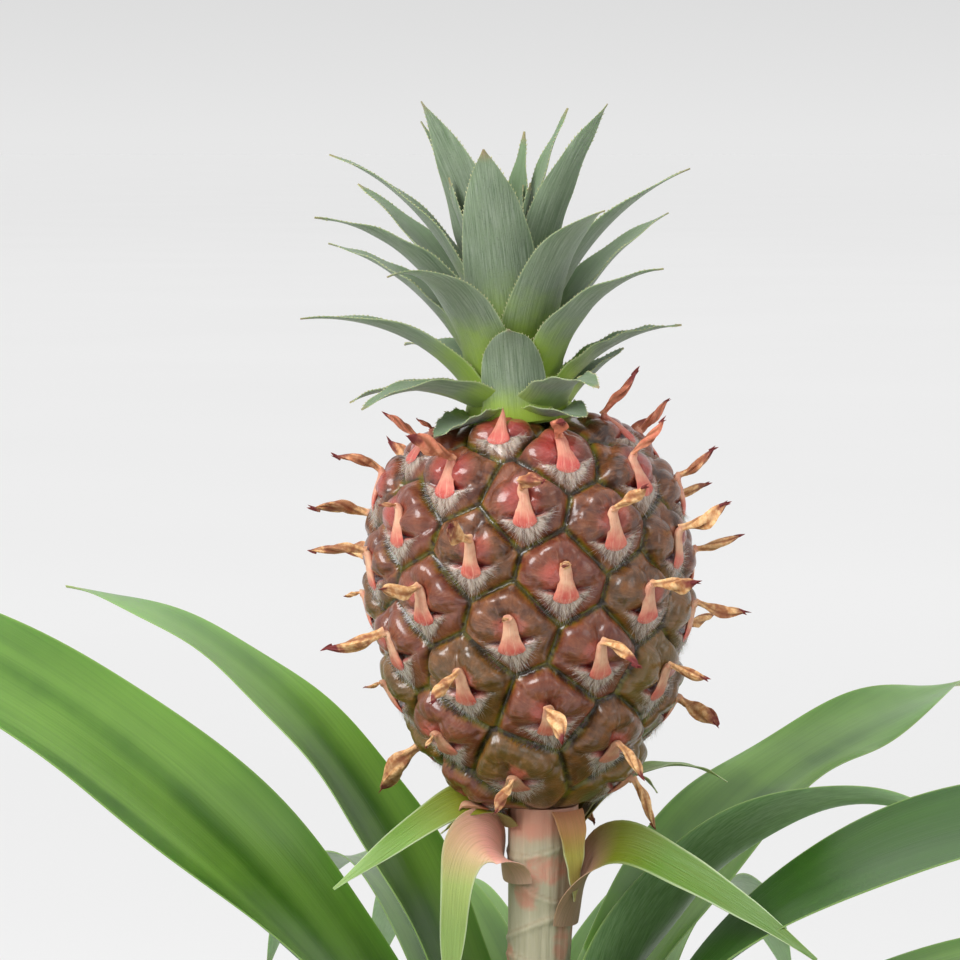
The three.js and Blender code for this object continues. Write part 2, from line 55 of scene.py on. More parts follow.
def paint(red, green, blue):
    """A linear colour from the 0 to 255 values that a paint chart gives."""
    shares = [value / 255 for value in (red, green, blue)]
    return [s / 12.92 if s <= 0.04045 else ((s + 0.055) / 1.055) ** 2.4 for s in shares] + [1.0]


def add_node(tree, kind, inputs, settings):
    """A node of that kind in a tree, with its settings made and its inputs filled or joined."""
    node = tree.nodes.new(kind)
    for setting, value in settings.items():
        setattr(node, setting, value)
    for socket, value in inputs.items():
        if isinstance(value, bpy.types.NodeSocket):
            tree.links.new(value, node.inputs[socket])
        else:
            node.inputs[socket].default_value = value
    return node


class Finish:
    """A material in the making: each step adds a node and returns the socket that the next one takes."""

    def __init__(self, name, shader):
        self.material = bpy.data.materials.new(name)
        self.material.use_nodes = True
        self.tree = self.material.node_tree
        self.shader = self.tree.nodes["Principled BSDF"]
        for socket, value in shader.items():
            self.shader.inputs[socket].default_value = value

    def add(self, kind, inputs, output=0, **settings):
        return add_node(self.tree, "ShaderNode" + kind, inputs, settings).outputs[output]

    def place(self, stretch=(1, 1, 1)):
        """The point on the object in millimetres, squeezed by the three shares."""
        scale = [share / MM for share in stretch]
        return self.add("Mapping", {"Vector": self.add("TexCoord", {}, 3), "Scale": scale})

    def mark(self, name):
        """The number that the mesh keeps under that name."""
        return self.add("Attribute", {}, 2, attribute_name=name)

    def tint(self, name):
        """The colour that the mesh keeps under that name."""
        return self.add("Attribute", {}, 0, attribute_name=name)

    def sum(self, kind, first, second=0.0, third=0.0):
        """One step of arithmetic on up to three numbers."""
        return self.add("Math", {0: first, 1: second, 2: third}, operation=kind)

    def grid(self, x, y, z=0.0):
        """A point made of three numbers, for a pattern that runs with the surface."""
        return self.add("CombineXYZ", {"X": x, "Y": y, "Z": z})

    def noise(self, place, size, detail, roughness=0.55, distortion=0.0):
        """Cloudy patches from 0 to 1, about that size."""
        values = {"Vector": place, "Scale": 1 / size, "Detail": detail, "Roughness": roughness}
        return self.add("TexNoise", {**values, "Distortion": distortion})

    def cells(self, place, size):
        """How far a point is from the nearest of many scattered ones, that size apart."""
        return self.add("TexVoronoi", {"Vector": place, "Scale": 1 / size})

    def fade(self, value, low, high, start=0.0, end=1.0):
        """Goes smoothly from start to end while the value goes from low to high."""
        inputs = {0: value, 1: low, 2: high, 3: start, 4: end}
        return self.add("MapRange", inputs, interpolation_type="SMOOTHSTEP")

    def mix(self, share, first, second):
        return self.add("Mix", {0: share, 6: first, 7: second}, 2, data_type="RGBA")

    def bump(self, height, depth, under=None):
        """Fine relief, that many millimetres deep, over any other relief."""
        inputs = {"Height": height, "Distance": depth * MM}
        if under is not None:
            inputs["Normal"] = under
        return self.add("Bump", inputs)

    def wear(self, **sockets):
        """Joins the finished colour, roughness and normal to the shader."""
        for socket, value in sockets.items():
            self.tree.links.new(value, self.shader.inputs[socket.replace("_", " ")])
        return self.material


def band_faces(rings, around):
    """The faces of an open band over rings of points."""
    here = np.arange(rings * around).reshape(rings, around)
    beside = np.roll(here, -1, axis=1)
    return np.stack([here[:-1], beside[:-1], beside[1:], here[1:]], axis=-1).reshape(-1, 4).tolist()


def tube_faces(rings, around):
    """The faces of a closed body over rings of points, with a flat face at each end."""
    first = list(range(around))
    last = list(range((rings - 1) * around, rings * around))
    return band_faces(rings, around) + [first[::-1], last]


# How a mesh keeps a mark, by how many numbers it has at each point.
MARK_KINDS = {1: ("FLOAT", "value"), 3: ("FLOAT_VECTOR", "vector"), 4: ("FLOAT_COLOR", "color")}


def new_piece(name, points, material, marks=None, faces=None, edges=(), crease=60):
    """A mesh of points in millimetres, with its faces turned outwards and the marks that its finish or a
    recipe reads. Without faces of their own, the points are rings and make a closed body."""
    points = np.asarray(points, float)
    if faces is None:
        faces = tube_faces(*points.shape[:2])
    mesh = bpy.data.meshes.new(name)
    mesh.from_pydata((points.reshape(-1, 3) * MM).tolist(), edges, faces)
    shape = bmesh.new()
    shape.from_mesh(mesh)
    bmesh.ops.recalc_face_normals(shape, faces=shape.faces[:])
    shape.to_mesh(mesh)
    shape.free()
    for mark, values in (marks or {}).items():
        values = np.asarray(values, np.float32)
        kind, part = MARK_KINDS[values.size // len(mesh.vertices)]
        mesh.attributes.new(mark, kind, "POINT").data.foreach_set(part, values.ravel())
    mesh.shade_smooth()
    mesh.set_sharp_from_angle(angle=math.radians(crease))
    mesh.materials.append(material)
    piece = bpy.data.objects.new(name, mesh)
    bpy.context.scene.collection.objects.link(piece)
    return piece


def polar(radius, angle, height):
    """Points at a radius, an angle in radians and a height."""
    parts = np.broadcast_arrays(radius * np.cos(angle), radius * np.sin(angle), height)
    return np.stack(parts, axis=-1)


def mix(low, high, share):
    return low + (high - low) * share


def ease(value, low, high):
    """Goes smoothly from 0 to 1 while the value goes from low to high."""
    share = np.clip((np.asarray(value, float) - low) / (high - low), 0, 1)
    return share * share * (3 - 2 * share)


def rounded(corners):
    """A profile with each corner (radius, height, roundness) turned in a small arc."""
    points = []
    for i, (radius, height, bend) in enumerate(corners):
        here = np.array([radius, height])
        if bend == 0:
            points.append(here)
            continue
        before = np.array(corners[i - 1][:2]) - here
        after = np.array(corners[i + 1][:2]) - here
        start = here + before / np.linalg.norm(before) * bend
        end = here + after / np.linalg.norm(after) * bend
        for t in np.linspace(0, 1, CORNER_STEPS):
            points.append((1 - t) ** 2 * start + 2 * t * (1 - t) * here + t * t * end)
    return np.array(points)


def turned(profile, sides):
    """Rings of points round the Z axis, one for each point of a profile."""
    angles = np.linspace(0, 2 * np.pi, sides, endpoint=False)
    return polar(profile[:, :1], angles, profile[:, 1:])


def pot_outside(height):
    return mix(POT_BASE_RADIUS, POT_RIM_RADIUS - RIM_PROUD, height / POT_HEIGHT)


def pot_inside(height):
    return pot_outside(height) - POT_WALL


def pot_glaze():
    glaze = Finish("pot_glaze", {"Coat Weight": 0.35, "Coat Roughness": 0.12, "IOR": 1.5})
    place = glaze.place()
    cloud = glaze.noise(place, 26, 4)
    pooling = glaze.mix(cloud, paint(222, 216, 203), paint(238, 234, 225))
    specks = glaze.fade(glaze.cells(place, 2.3), 0.05, 0.13, 1, 0)
    chosen = glaze.fade(glaze.noise(place, 5, 2), 0.52, 0.6)
    speckled = glaze.mix(glaze.sum("MULTIPLY", specks, chosen), pooling, paint(122, 96, 70))
    bare = glaze.fade(glaze.add("SeparateXYZ", {0: place}, 2), 1.2, 2.6, 1, 0)
    throwing = glaze.noise(glaze.place((0.02, 0.02, 0.5)), 1, 2)
    bumps = glaze.bump(glaze.noise(place, 0.5, 2), 0.05, glaze.bump(throwing, 0.35))
    return glaze.wear(
        Base_Color=glaze.mix(bare, speckled, paint(190, 160, 130)),
        Roughness=glaze.fade(bare, 0, 1, 0.28, 0.8),
        Normal=bumps,
    )


def fit(piece, slot, *nodes):
    """The piece rides with the plant and stands for its CAD nodes, which it hides. The slot is not used."""
    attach(piece, "root")
    if nodes:
        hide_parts(*nodes)


rim_foot = POT_HEIGHT - RIM_DEPTH
pot_corners = [
    (0.5, 0, 0),
    (POT_BASE_RADIUS - 5, 0, 0.6),
    (POT_BASE_RADIUS - 5.6, 1, 0.5),
    (POT_BASE_RADIUS - 2.4, 1, 0.4),
    (POT_BASE_RADIUS - 2, 0, 0.4),
    (POT_BASE_RADIUS, 0, 1.4),
    (pot_outside(rim_foot), rim_foot, 1.2),
    (POT_RIM_RADIUS - 0.2, rim_foot + 0.6, 1.6),
    (POT_RIM_RADIUS, POT_HEIGHT, 2),
    (pot_inside(POT_HEIGHT), POT_HEIGHT, 2),
    (pot_inside(POT_WALL), POT_WALL, 3),
    (0.5, POT_WALL, 0),
]
pot = new_piece("pot_shell", turned(rounded(pot_corners), POT_SIDES), pot_glaze(), crease=70)
fit(pot, "pot_glaze", "pot")

# Soil
# Dark peaty potting mix, filled in loose to a finger below the rim and pressed round the stem. Crumbs of
# peat, chips of bark and a few white grains of perlite lie on it.
SOIL_LEVEL = 101
SOIL_RISE = 2.2
SOIL_ROWS = 46
SOIL_SIDES = 180
SOIL_GAP = 0.3
STEM_RADIUS = 13
STEM_HOLE = STEM_RADIUS + 0.5
STEM_FOOT = 72
CRUMB_SINK = 0.35
WAVE_LAYERS = 4
WAVES_A_LAYER = 5


def waves(points, size, seed):
    """Smooth hills and hollows from -1 to 1 at points, made of crossing waves."""
    draw = np.random.default_rng(seed)
    total = np.zeros(points.shape[:-1])
    for layer in range(WAVE_LAYERS):
        for _ in range(WAVES_A_LAYER):
            way = draw.normal(size=3)
            way *= 2 * np.pi * 1.9**layer / size / np.linalg.norm(way)
            total += np.sin(points @ way + draw.uniform(0, 2 * np.pi)) * 0.42 / 1.7**layer
    return total / 1.6


def soil_finish(name, dark, light, size):
    soil = Finish(name, {"Specular IOR Level": 0.25})
    place = soil.place()
    grain = soil.noise(place, size, 6, 0.7)
    fibre = soil.noise(soil.place((1, 0.3, 1)), 0.5, 3)
    colour = soil.mix(soil.fade(grain, 0.3, 0.75), dark, light)
    return soil.wear(
        Base_Color=soil.mix(soil.fade(fibre, 0.6, 0.8), colour, paint(92, 68, 48)),
        Roughness=soil.fade(grain, 0.2, 0.8, 0.98, 0.82),
        Normal=soil.bump(grain, 0.6),
    )


class Recipe:
    """A Geometry Nodes tree in the making, with a named input for each size."""

    def __init__(self, name, sizes):
        self.tree = bpy.data.node_groups.new(name, "GeometryNodeTree")
        self.sizes = sizes
        self.sockets = {}
        interface = self.tree.interface
        interface.new_socket("Geometry", in_out="INPUT", socket_type="NodeSocketGeometry")
        for label, value in sizes.items():
            kind = {int: "NodeSocketInt", float: "NodeSocketFloat"}.get(type(value), "NodeSocketObject")
            self.sockets[label] = interface.new_socket(label, in_out="INPUT", socket_type=kind).identifier
        interface.new_socket("Geometry", in_out="OUTPUT", socket_type="NodeSocketGeometry")
        self.given = self.tree.nodes.new("NodeGroupInput").outputs

    def add(self, kind, inputs=None, output=0, **settings):
        return add_node(self.tree, kind, inputs or {}, settings).outputs[output]

    def field(self, name, kind="FLOAT"):
        """The mark of that name on the host's points."""
        return self.add("GeometryNodeInputNamedAttribute", {"Name": name}, data_type=kind)

    def random(self, low, high, seed):
        """A number, or a vector where the limits are vectors, that differs from point to point."""
        if isinstance(low, tuple):
            limits = {0: low, 1: high, "Seed": seed}
            return self.add("FunctionNodeRandomValue", limits, 0, data_type="FLOAT_VECTOR")
        limits = {2: low, 3: high, "Seed": seed}
        return self.add("FunctionNodeRandomValue", limits, 1, data_type="FLOAT")

    def multiply(self, first, second):
        return self.add("ShaderNodeMath", {0: first, 1: second}, operation="MULTIPLY")

    def scatter(self, density):
        """Points strewn over the host's faces, that many on a square metre."""
        inputs = {"Mesh": self.given["Geometry"], "Density": density, "Seed": self.given["Seed"]}
        return self.add("GeometryNodeDistributePointsOnFaces", inputs)

    def aim(self, direction, spin):
        """Turns a shape's own +Z to a direction, after a spin round it."""
        facing = self.add("FunctionNodeAlignRotationToVector", {"Vector": direction}, axis="Z")
        turn = self.add("FunctionNodeAxisAngleToRotation", {"Axis": (0, 0, 1), "Angle": spin})
        inputs = {"Rotation": facing, "Rotate By": turn}
        return self.add("FunctionNodeRotateRotation", inputs, rotation_space="LOCAL")

    def finish(self, points, shape, turn, scale, material, choice=None):
        """Ends the tree: a copy of the shape on each point, all made one mesh with its material."""
        inputs = {"Points": points, "Instance": shape, "Rotation": turn, "Scale": scale, **(choice or {})}
        copies = self.add("GeometryNodeInstanceOnPoints", inputs)
        real = self.add("GeometryNodeRealizeInstances", {"Geometry": copies})
        smooth = self.add("GeometryNodeSetShadeSmooth", {"Geometry": real, "Shade Smooth": True})
        done = self.add("GeometryNodeSetMaterial", {"Geometry": smooth, "Material": material})
        result = self.tree.nodes.new("NodeGroupOutput")
        self.tree.links.new(done, result.inputs[0])
        return self

    def grow(self, name, host, **changes):
        """Runs the tree on a host's mesh and keeps what it makes as a plain mesh."""
        modifier = host.modifiers.new(name, "NODES")
        modifier.node_group = self.tree
        for label, value in {**self.sizes, **changes}.items():
            modifier[self.sockets[label]] = value
        host.update_tag()
        depsgraph = bpy.context.evaluated_depsgraph_get()
        mesh = bpy.data.meshes.new_from_object(host.evaluated_get(depsgraph), depsgraph=depsgraph)
        host.modifiers.remove(modifier)
        mesh.name = name
        piece = bpy.data.objects.new(name, mesh)
        bpy.context.scene.collection.objects.link(piece)
        return piece


def crumb_recipe(material):
    """Rough little lumps scattered over a surface, half sunk into it."""
    recipe = Recipe("scatter_crumbs", {"Size": 0.0015, "Flatness": 0.8, "Density": 20000.0, "Seed": 1})
    given = recipe.given
    lump = recipe.add("GeometryNodeMeshIcoSphere", {"Radius": given["Size"], "Subdivisions": 2})
    spot = recipe.add("GeometryNodeInputPosition")
    rough = recipe.add("ShaderNodeTexNoise", {"Vector": spot, "Scale": 700.0, "Detail": 1.0}, 1)
    centred = recipe.add("ShaderNodeVectorMath", {0: rough, 1: (0.5, 0.5, 0.5)}, operation="SUBTRACT")
    push = recipe.add("ShaderNodeVectorMath", {0: centred, "Scale": given["Size"]}, operation="SCALE")
    shaped = recipe.add("GeometryNodeSetPosition", {"Geometry": lump, "Offset": push})
    turn = recipe.random((-0.5, -0.5, -3.2), (0.5, 0.5, 3.2), given["Seed"])
    long = recipe.random(0.45, 1.3, 5)
    wide = recipe.random(0.4, 1.0, 6)
    flat = recipe.multiply(long, given["Flatness"])
    scale = recipe.add("ShaderNodeCombineXYZ", {"X": long, "Y": wide, "Z": flat})
    return recipe.finish(recipe.scatter(given["Density"]), shaped, turn, scale, material)


peat = soil_finish("soil_peat", paint(30, 21, 15), paint(66, 47, 33), 1.6)
bark = soil_finish("soil_bark", paint(58, 36, 22), paint(112, 74, 46), 0.8)
perlite = soil_finish("soil_perlite", paint(196, 190, 178), paint(236, 232, 224), 0.5)

soil_edge = pot_inside(SOIL_LEVEL) - SOIL_GAP
soil_corners = [
    (0.5, POT_WALL + SOIL_GAP, 0),
    (pot_inside(POT_WALL) - 4, POT_WALL + SOIL_GAP, 2),
    (soil_edge, SOIL_LEVEL, 1.5),
    (STEM_HOLE, SOIL_LEVEL + SOIL_RISE, 1),
    (STEM_HOLE, STEM_FOOT - SOIL_GAP, 0),
    (0.5, STEM_FOOT - SOIL_GAP, 0),
]
soil_profile = rounded(soil_corners)
surface_start = np.argmax(soil_profile[:, 1] > SOIL_LEVEL - 2)
surface_end = len(soil_profile) - 1 - np.argmax(soil_profile[::-1, 1] > SOIL_LEVEL)
radii = np.linspace(soil_profile[surface_start, 0], STEM_HOLE + 0.5, SOIL_ROWS)
surface = np.stack([radii, SOIL_LEVEL + SOIL_RISE * ease(radii, soil_edge, STEM_HOLE)], axis=1)
soil_profile = np.vstack([soil_profile[:surface_start], surface, soil_profile[surface_end + 1 :]])
soil_points = turned(soil_profile, SOIL_SIDES)
heights = soil_points[..., 2]
inner = ease(np.hypot(soil_points[..., 0], soil_points[..., 1]), soil_edge, soil_edge - 2)
loose = ease(heights, SOIL_LEVEL - 1, SOIL_LEVEL) * inner
soil_points[..., 2] -= loose * (0.9 - 0.8 * waves(soil_points, 24, 3))
soil = new_piece("soil_bed", soil_points, peat)

# The loose bits are scattered on a sheet that follows the bed's upper side, a little sunk.
sheet_points = soil_points[surface_start + 3 : surface_start + len(surface) - 2] - [0, 0, CRUMB_SINK]
sheet = new_piece("soil_sheet", sheet_points, peat, faces=band_faces(*sheet_points.shape[:2]))
for name, material, changes in [
    ("soil_crumbs", peat, {"Size": 0.0013, "Density": 120000.0, "Seed": 3}),
    ("soil_chips", bark, {"Size": 0.0034, "Flatness": 0.35, "Density": 16000.0, "Seed": 9}),
    ("soil_perlite", perlite, {"Size": 0.0012, "Density": 6500.0, "Seed": 14}),
]:
    fit(crumb_recipe(material).grow(name, sheet, **changes), "potting_soil")
bpy.data.objects.remove(sheet)
fit(soil, "potting_soil", "soil")

# Stem
# The short leafy stem, which stands in the soil, and the pale fruit stalk that it grows into. Old leaf
# scars ring it, with blushed pink skin under each, and the fruit sits on its cut-off top.
STALK_RADIUS = 7.5
STALK_FLARE = 0.9
STALK_START = 165
FRUIT_BASE = np.array([1.5, 0.0, 235.0])
SEAT_GAP = 0.3
STEM_SIDES = 96
# The stem is coarser where the leaves hide it, and finer above.
BARE_FROM = 151.5
HIDDEN_RINGS = 24
BARE_RINGS = 150


def stem_radius(height):
    flare = STALK_FLARE * ease(height, FRUIT_BASE[2] - 45, FRUIT_BASE[2])
    return mix(STEM_RADIUS, STALK_RADIUS, ease(height, 118, STALK_START)) + flare


def on_stem(distance, angle, height):
    """A point at a distance from the stem's centre line, which bends a little to meet the fruit."""
    points = polar(distance, angle, height)
    points[..., 0] += FRUIT_BASE[0] * ease(height, STALK_START, FRUIT_BASE[2])
    return points


# Each scar is the height of its lowest point, the angle of that point in degrees, and how steeply it
# climbs to the other side. Each blush is its height, its angle, and how far it reaches up and round.
LEAF_SCARS = [(178, 200, 8), (191, 20, 9), (203, 150, 7), (212.5, 315, 9), (223, 215, 6)]
BLUSHES = [
    (232, 255, 6, 10),
    (220.5, 276, 4.5, 7.5),
    (215, 240, 5, 4.5),
    (203, 312, 6, 3.5),
    (228, 60, 5, 7),
    (214, 120, 6, 5),
    (204, 10, 6, 6),
    (197, 190, 7, 5),
    (186, 285, 6, 5),
]


def glow(weight, reach, colours=(1.0, 0.2, 0.1)):
    """How much light soaks into a plant's flesh, how many millimetres it spreads, and in which colours."""
    return {"Subsurface Weight": weight, "Subsurface Scale": reach * MM, "Subsurface Radius": colours}


def stem_skin():
    skin = Finish("stalk_skin", {**glow(0.12, 2, (1.0, 0.8, 0.4)), "IOR": 1.42})
    place = skin.place()
    streaks = skin.noise(skin.place((1.2, 1.2, 0.06)), 1, 4, 0.6)
    pale = skin.mix(streaks, paint(160, 154, 126), paint(196, 188, 164))
    leafy = skin.mix(skin.mark("leafy"), pale, paint(150, 168, 96))
    ragged = skin.sum("MULTIPLY_ADD", skin.noise(place, 5, 4, 0.6, 0.6), 1.0, skin.mark("blush"))
    pink = skin.mix(skin.fade(ragged, 0.72, 1.16, 0, 0.85), leafy, paint(202, 138, 118))
    height = skin.add("SeparateXYZ", {0: place}, 2)
    pink = skin.mix(skin.fade(height, 225, 231, 0, 0.75), pink, paint(214, 148, 126))
    rims = skin.mix(skin.mark("scar"), pink, paint(140, 122, 92))
    return skin.wear(
        Base_Color=rims,
        Roughness=skin.fade(streaks, 0.3, 0.7, 0.42, 0.58),
        Normal=skin.bump(streaks, 0.22),
    )


hidden_heights = np.linspace(STEM_FOOT, BARE_FROM - 1.5, HIDDEN_RINGS)
bare_heights = np.linspace(BARE_FROM, FRUIT_BASE[2] - 2 * SEAT_GAP, BARE_RINGS)
stem_heights = np.concatenate([hidden_heights, bare_heights])
stem_angles = np.linspace(0, 2 * np.pi, STEM_SIDES, endpoint=False)
stem_z, stem_angle = np.meshgrid(stem_heights, stem_angles, indexing="ij")
stem_bulge = np.zeros_like(stem_z)
stem_scar = np.zeros_like(stem_z)
stem_blush = np.zeros_like(stem_z)
for height, angle, climb in LEAF_SCARS:
    drop = stem_z - height - climb * 0.5 * (1 - np.cos(stem_angle - math.radians(angle)))
    stem_bulge += 0.34 * np.exp(-(((drop + 0.2) / 0.8) ** 2)) + 0.2 * ease(drop, -5, 0) * (drop < 0)
    stem_scar = np.maximum(stem_scar, np.exp(-(((drop - 0.5) / 0.4) ** 2)))
for height, angle, tall, wide in BLUSHES:
    round_stem = (stem_angle - math.radians(angle) + np.pi) % (2 * np.pi) - np.pi
    apart = np.hypot((stem_z - height) / tall, round_stem * stem_radius(stem_z) / wide)
    stem_blush = np.maximum(stem_blush, ease(apart, 1.3, 0.5))
stem_ridges = 0.12 * np.sin(9 * stem_angle + 0.03 * stem_z) + 0.08 * np.sin(23 * stem_angle - 0.02 * stem_z)
stem_wall = stem_radius(stem_z) - 0.35 + np.minimum(stem_bulge, 0.45) + stem_ridges
stem_marks = {
    "scar": 0.5 * stem_scar * ease(stem_z, 160, 175),
    "blush": 0.5 * stem_blush,
    "leafy": 1 - ease(stem_z, 130, 168),
}
stem = new_piece("stem_and_stalk", on_stem(stem_wall, stem_angle, stem_z), stem_skin(), stem_marks)
fit(stem, "stalk", "stem")

# Strap leaves
# Tough channelled leaves that clasp the stem at their pale roots and arch outwards. Their upper side is
# glossy green, and their lower side is greyer with fine lengthwise scurf.
STRAP_COLUMNS = ("azimuth", "base", "length", "width", "slopes", "sweep", "twist")
# Each leaf, from the lowest: the degrees that it points round the stem, the height of its root, its length
# and width, its slopes at the root, middle and tip, and the degrees that it sweeps sideways and twists.
STRAP_LEAVES = [
    (255, 107, 215, 30, (48, 10, -58), 12, 0),
    (30, 110, 225, 31, (50, 12, -60), -10, 0),
    (152, 113, 225, 31, (50, 14, -58), 14, 0),
    (303, 116, 240, 32, (54, 14, -56), -12, 0),
    (100, 119, 225, 32, (56, 14, -62), 10, 0),
    (205, 122, 245, 33, (58, 16, -52), 10, 0),
    (8, 125, 250, 33, (60, 8, -50), 8, 0),
    (70, 128, 215, 32, (60, 12, -66), -12, 0),
    (230, 130, 230, 33, (62, 10, -62), 10, 0),
    (341, 134, 268, 34, (84, 20, -28), 0, 26),
    (178, 137, 280, 38, (66, 37, 8), -6, -45),
    (268, 136, 210, 31, (62, 8, -70), -10, 0),
    (112, 139, 200, 31, (66, 12, -70), 12, 0),
    (156, 148, 190, 27, (80, 51, 4), -4, -15),
    (54, 146, 220, 25, (74, 22, 8), -6, 24),
    (5, 152, 140, 32, (80, 48, -34), 0, -50),
]
# What sets a strap leaf apart from the rest: a flatter channel, a darker green painted on as shade, a wave,
# another taper.
STRAP_CHANGES = {10: {"channel": 1.6, "deep_green_and_painted_shade": 0.95}, 15: {"wave": 2.5, "taper": 3.2}, 16: {"taper": 0.9}}
STRAP_SECTION = {"thickness": 1.2, "channel": 0.72, "rib": 0.25}
STRAP_BLADE = {**STRAP_SECTION, "root_width": 12, "tip_width": 0.7, "taper": 1.7}
# The share of a leaf's length from which it narrows to its tip.
STRAP_TAPER_FROM = 0.3
STRAP_RINGS = 84
STRAP_ACROSS = 15
# What a blade has where neither its kind nor the leaf itself says otherwise.
PLAIN_BLADE = {"twist": 0, "twisted": (0.05, 0.5), "ripple": 0.5, "wave": 0, "rib": 0, "deep_green_and_painted_shade": 0}
OPENS_BY = 0.22
WAVE_TURN = 16
WAVE_LAG = 1.3
RIPPLE_TURN = 7
RIB_WIDTH = 1.4
PATH_STEPS = 5


def softened(t, stops):
    """The value at shares of a length, from a list of stops with its corners rounded off."""
    places, values = zip(*stops)
    return np.mean([np.interp(t + step, places, values) for step in (-0.06, -0.03, 0, 0.03, 0.06)], axis=0)


def leaf_lie(leaf, t):
    """Which way a leaf runs, and which way its upper face and its side look, at shares t of its length."""
    if "bends" in leaf:
        slope = softened(t, leaf["bends"])
    else:
        root, middle, tip = leaf["slopes"]
        slope = root * (1 - t) * (1 - 2 * t) + middle * 4 * t * (1 - t) + tip * t * (2 * t - 1)
    slope = np.radians(slope)
    heading = np.radians(leaf["azimuth"] + leaf["sweep"] * t * t)
    turn = np.radians(leaf["twist"] * ease(t, *leaf["twisted"]))[:, None]
    along = polar(np.cos(slope), heading, np.sin(slope))
    up = polar(-np.sin(slope), heading, np.cos(slope))
    side = np.cross(up, along)
    return along, up * np.cos(turn) - side * np.sin(turn), side * np.cos(turn) + up * np.sin(turn)


def blade(leaf, rings, across, outline, seed):
    """The closed rings of a channelled blade, thin at its margins, and the marks that its finish reads."""
    leaf = {**PLAIN_BLADE, **leaf}
    t = np.linspace(0, 1, rings + 1)
    fine = np.linspace(0, 1, rings * PATH_STEPS + 1)
    along = leaf_lie(leaf, (fine[1:] + fine[:-1]) / 2)[0]
    walked = np.vstack([np.zeros(3), np.cumsum(along, axis=0)]) * leaf["length"] / rings / PATH_STEPS
    middle = (leaf["root"] + walked)[::PATH_STEPS, None]
    _, up, side = [way[:, None] for way in leaf_lie(leaf, t)]
    opening = ease(t, 0, OPENS_BY)
    full = mix(leaf["root_width"], leaf["width"], opening) * outline(t)
    span = np.maximum(full, leaf["tip_width"])[:, None]
    curve = mix(leaf["root_curve"], leaf["channel"] * leaf["width"], opening)[:, None]
    share = np.linspace(-1, 1, across)
    row = np.concatenate([share, share[::-1]])
    face = np.concatenate([np.ones(across), -np.ones(across)])
    thinning = np.sqrt(1 - (0.96 * row) ** 2) * (1 - 0.55 * ease(t, 0.5, 1))[:, None]
    depth = leaf["thickness"] * (0.5 - 0.5 * face * thinning)
    angle = row * span / (2 * curve)
    ripple = np.sin(RIPPLE_TURN * t[:, None] * (2 + seed % 3) + 2.1 * seed + np.sign(row))
    wave = np.sin(WAVE_TURN * t[:, None] + WAVE_LAG * row)
    lift = opening[:, None] * (leaf["wave"] * wave + leaf["ripple"] * ripple) * row**2
    rib = leaf["rib"] * np.exp(-((row * span / 2 / RIB_WIDTH) ** 2)) * (1 - t[:, None])
    reach = curve + depth
    rise = curve - reach * np.cos(angle) + lift - rib
    points = middle + side * (reach * np.sin(angle))[..., None] + up * rise[..., None]
    whole = np.ones_like(angle)
    marks = {
        "along": whole * t[:, None],
        "along_mm": whole * t[:, None] * leaf["length"],
        "across_mm": whole * row * span / 2,
        "edge": whole * np.abs(row),
        "upper": whole * (face > 0),
        "leaf_seed": whole * (seed * 0.618 % 1),
        # how much painted shade darkens the leaf's upper side
        "deep_green_and_painted_shade": whole * leaf["deep_green_and_painted_shade"],
    }
    return points, marks


def seated(leaf):
    """A leaf whose root clasps the stem."""
    seat = stem_radius(leaf["base"]) + SEAT_GAP
    root = on_stem(seat, math.radians(leaf["azimuth"]), leaf["base"])
    return {**leaf, "root": root, "root_curve": seat}


def strap_outline(t, taper):
    return 1 - (np.maximum(0, t - STRAP_TAPER_FROM) / (1 - STRAP_TAPER_FROM)) ** taper


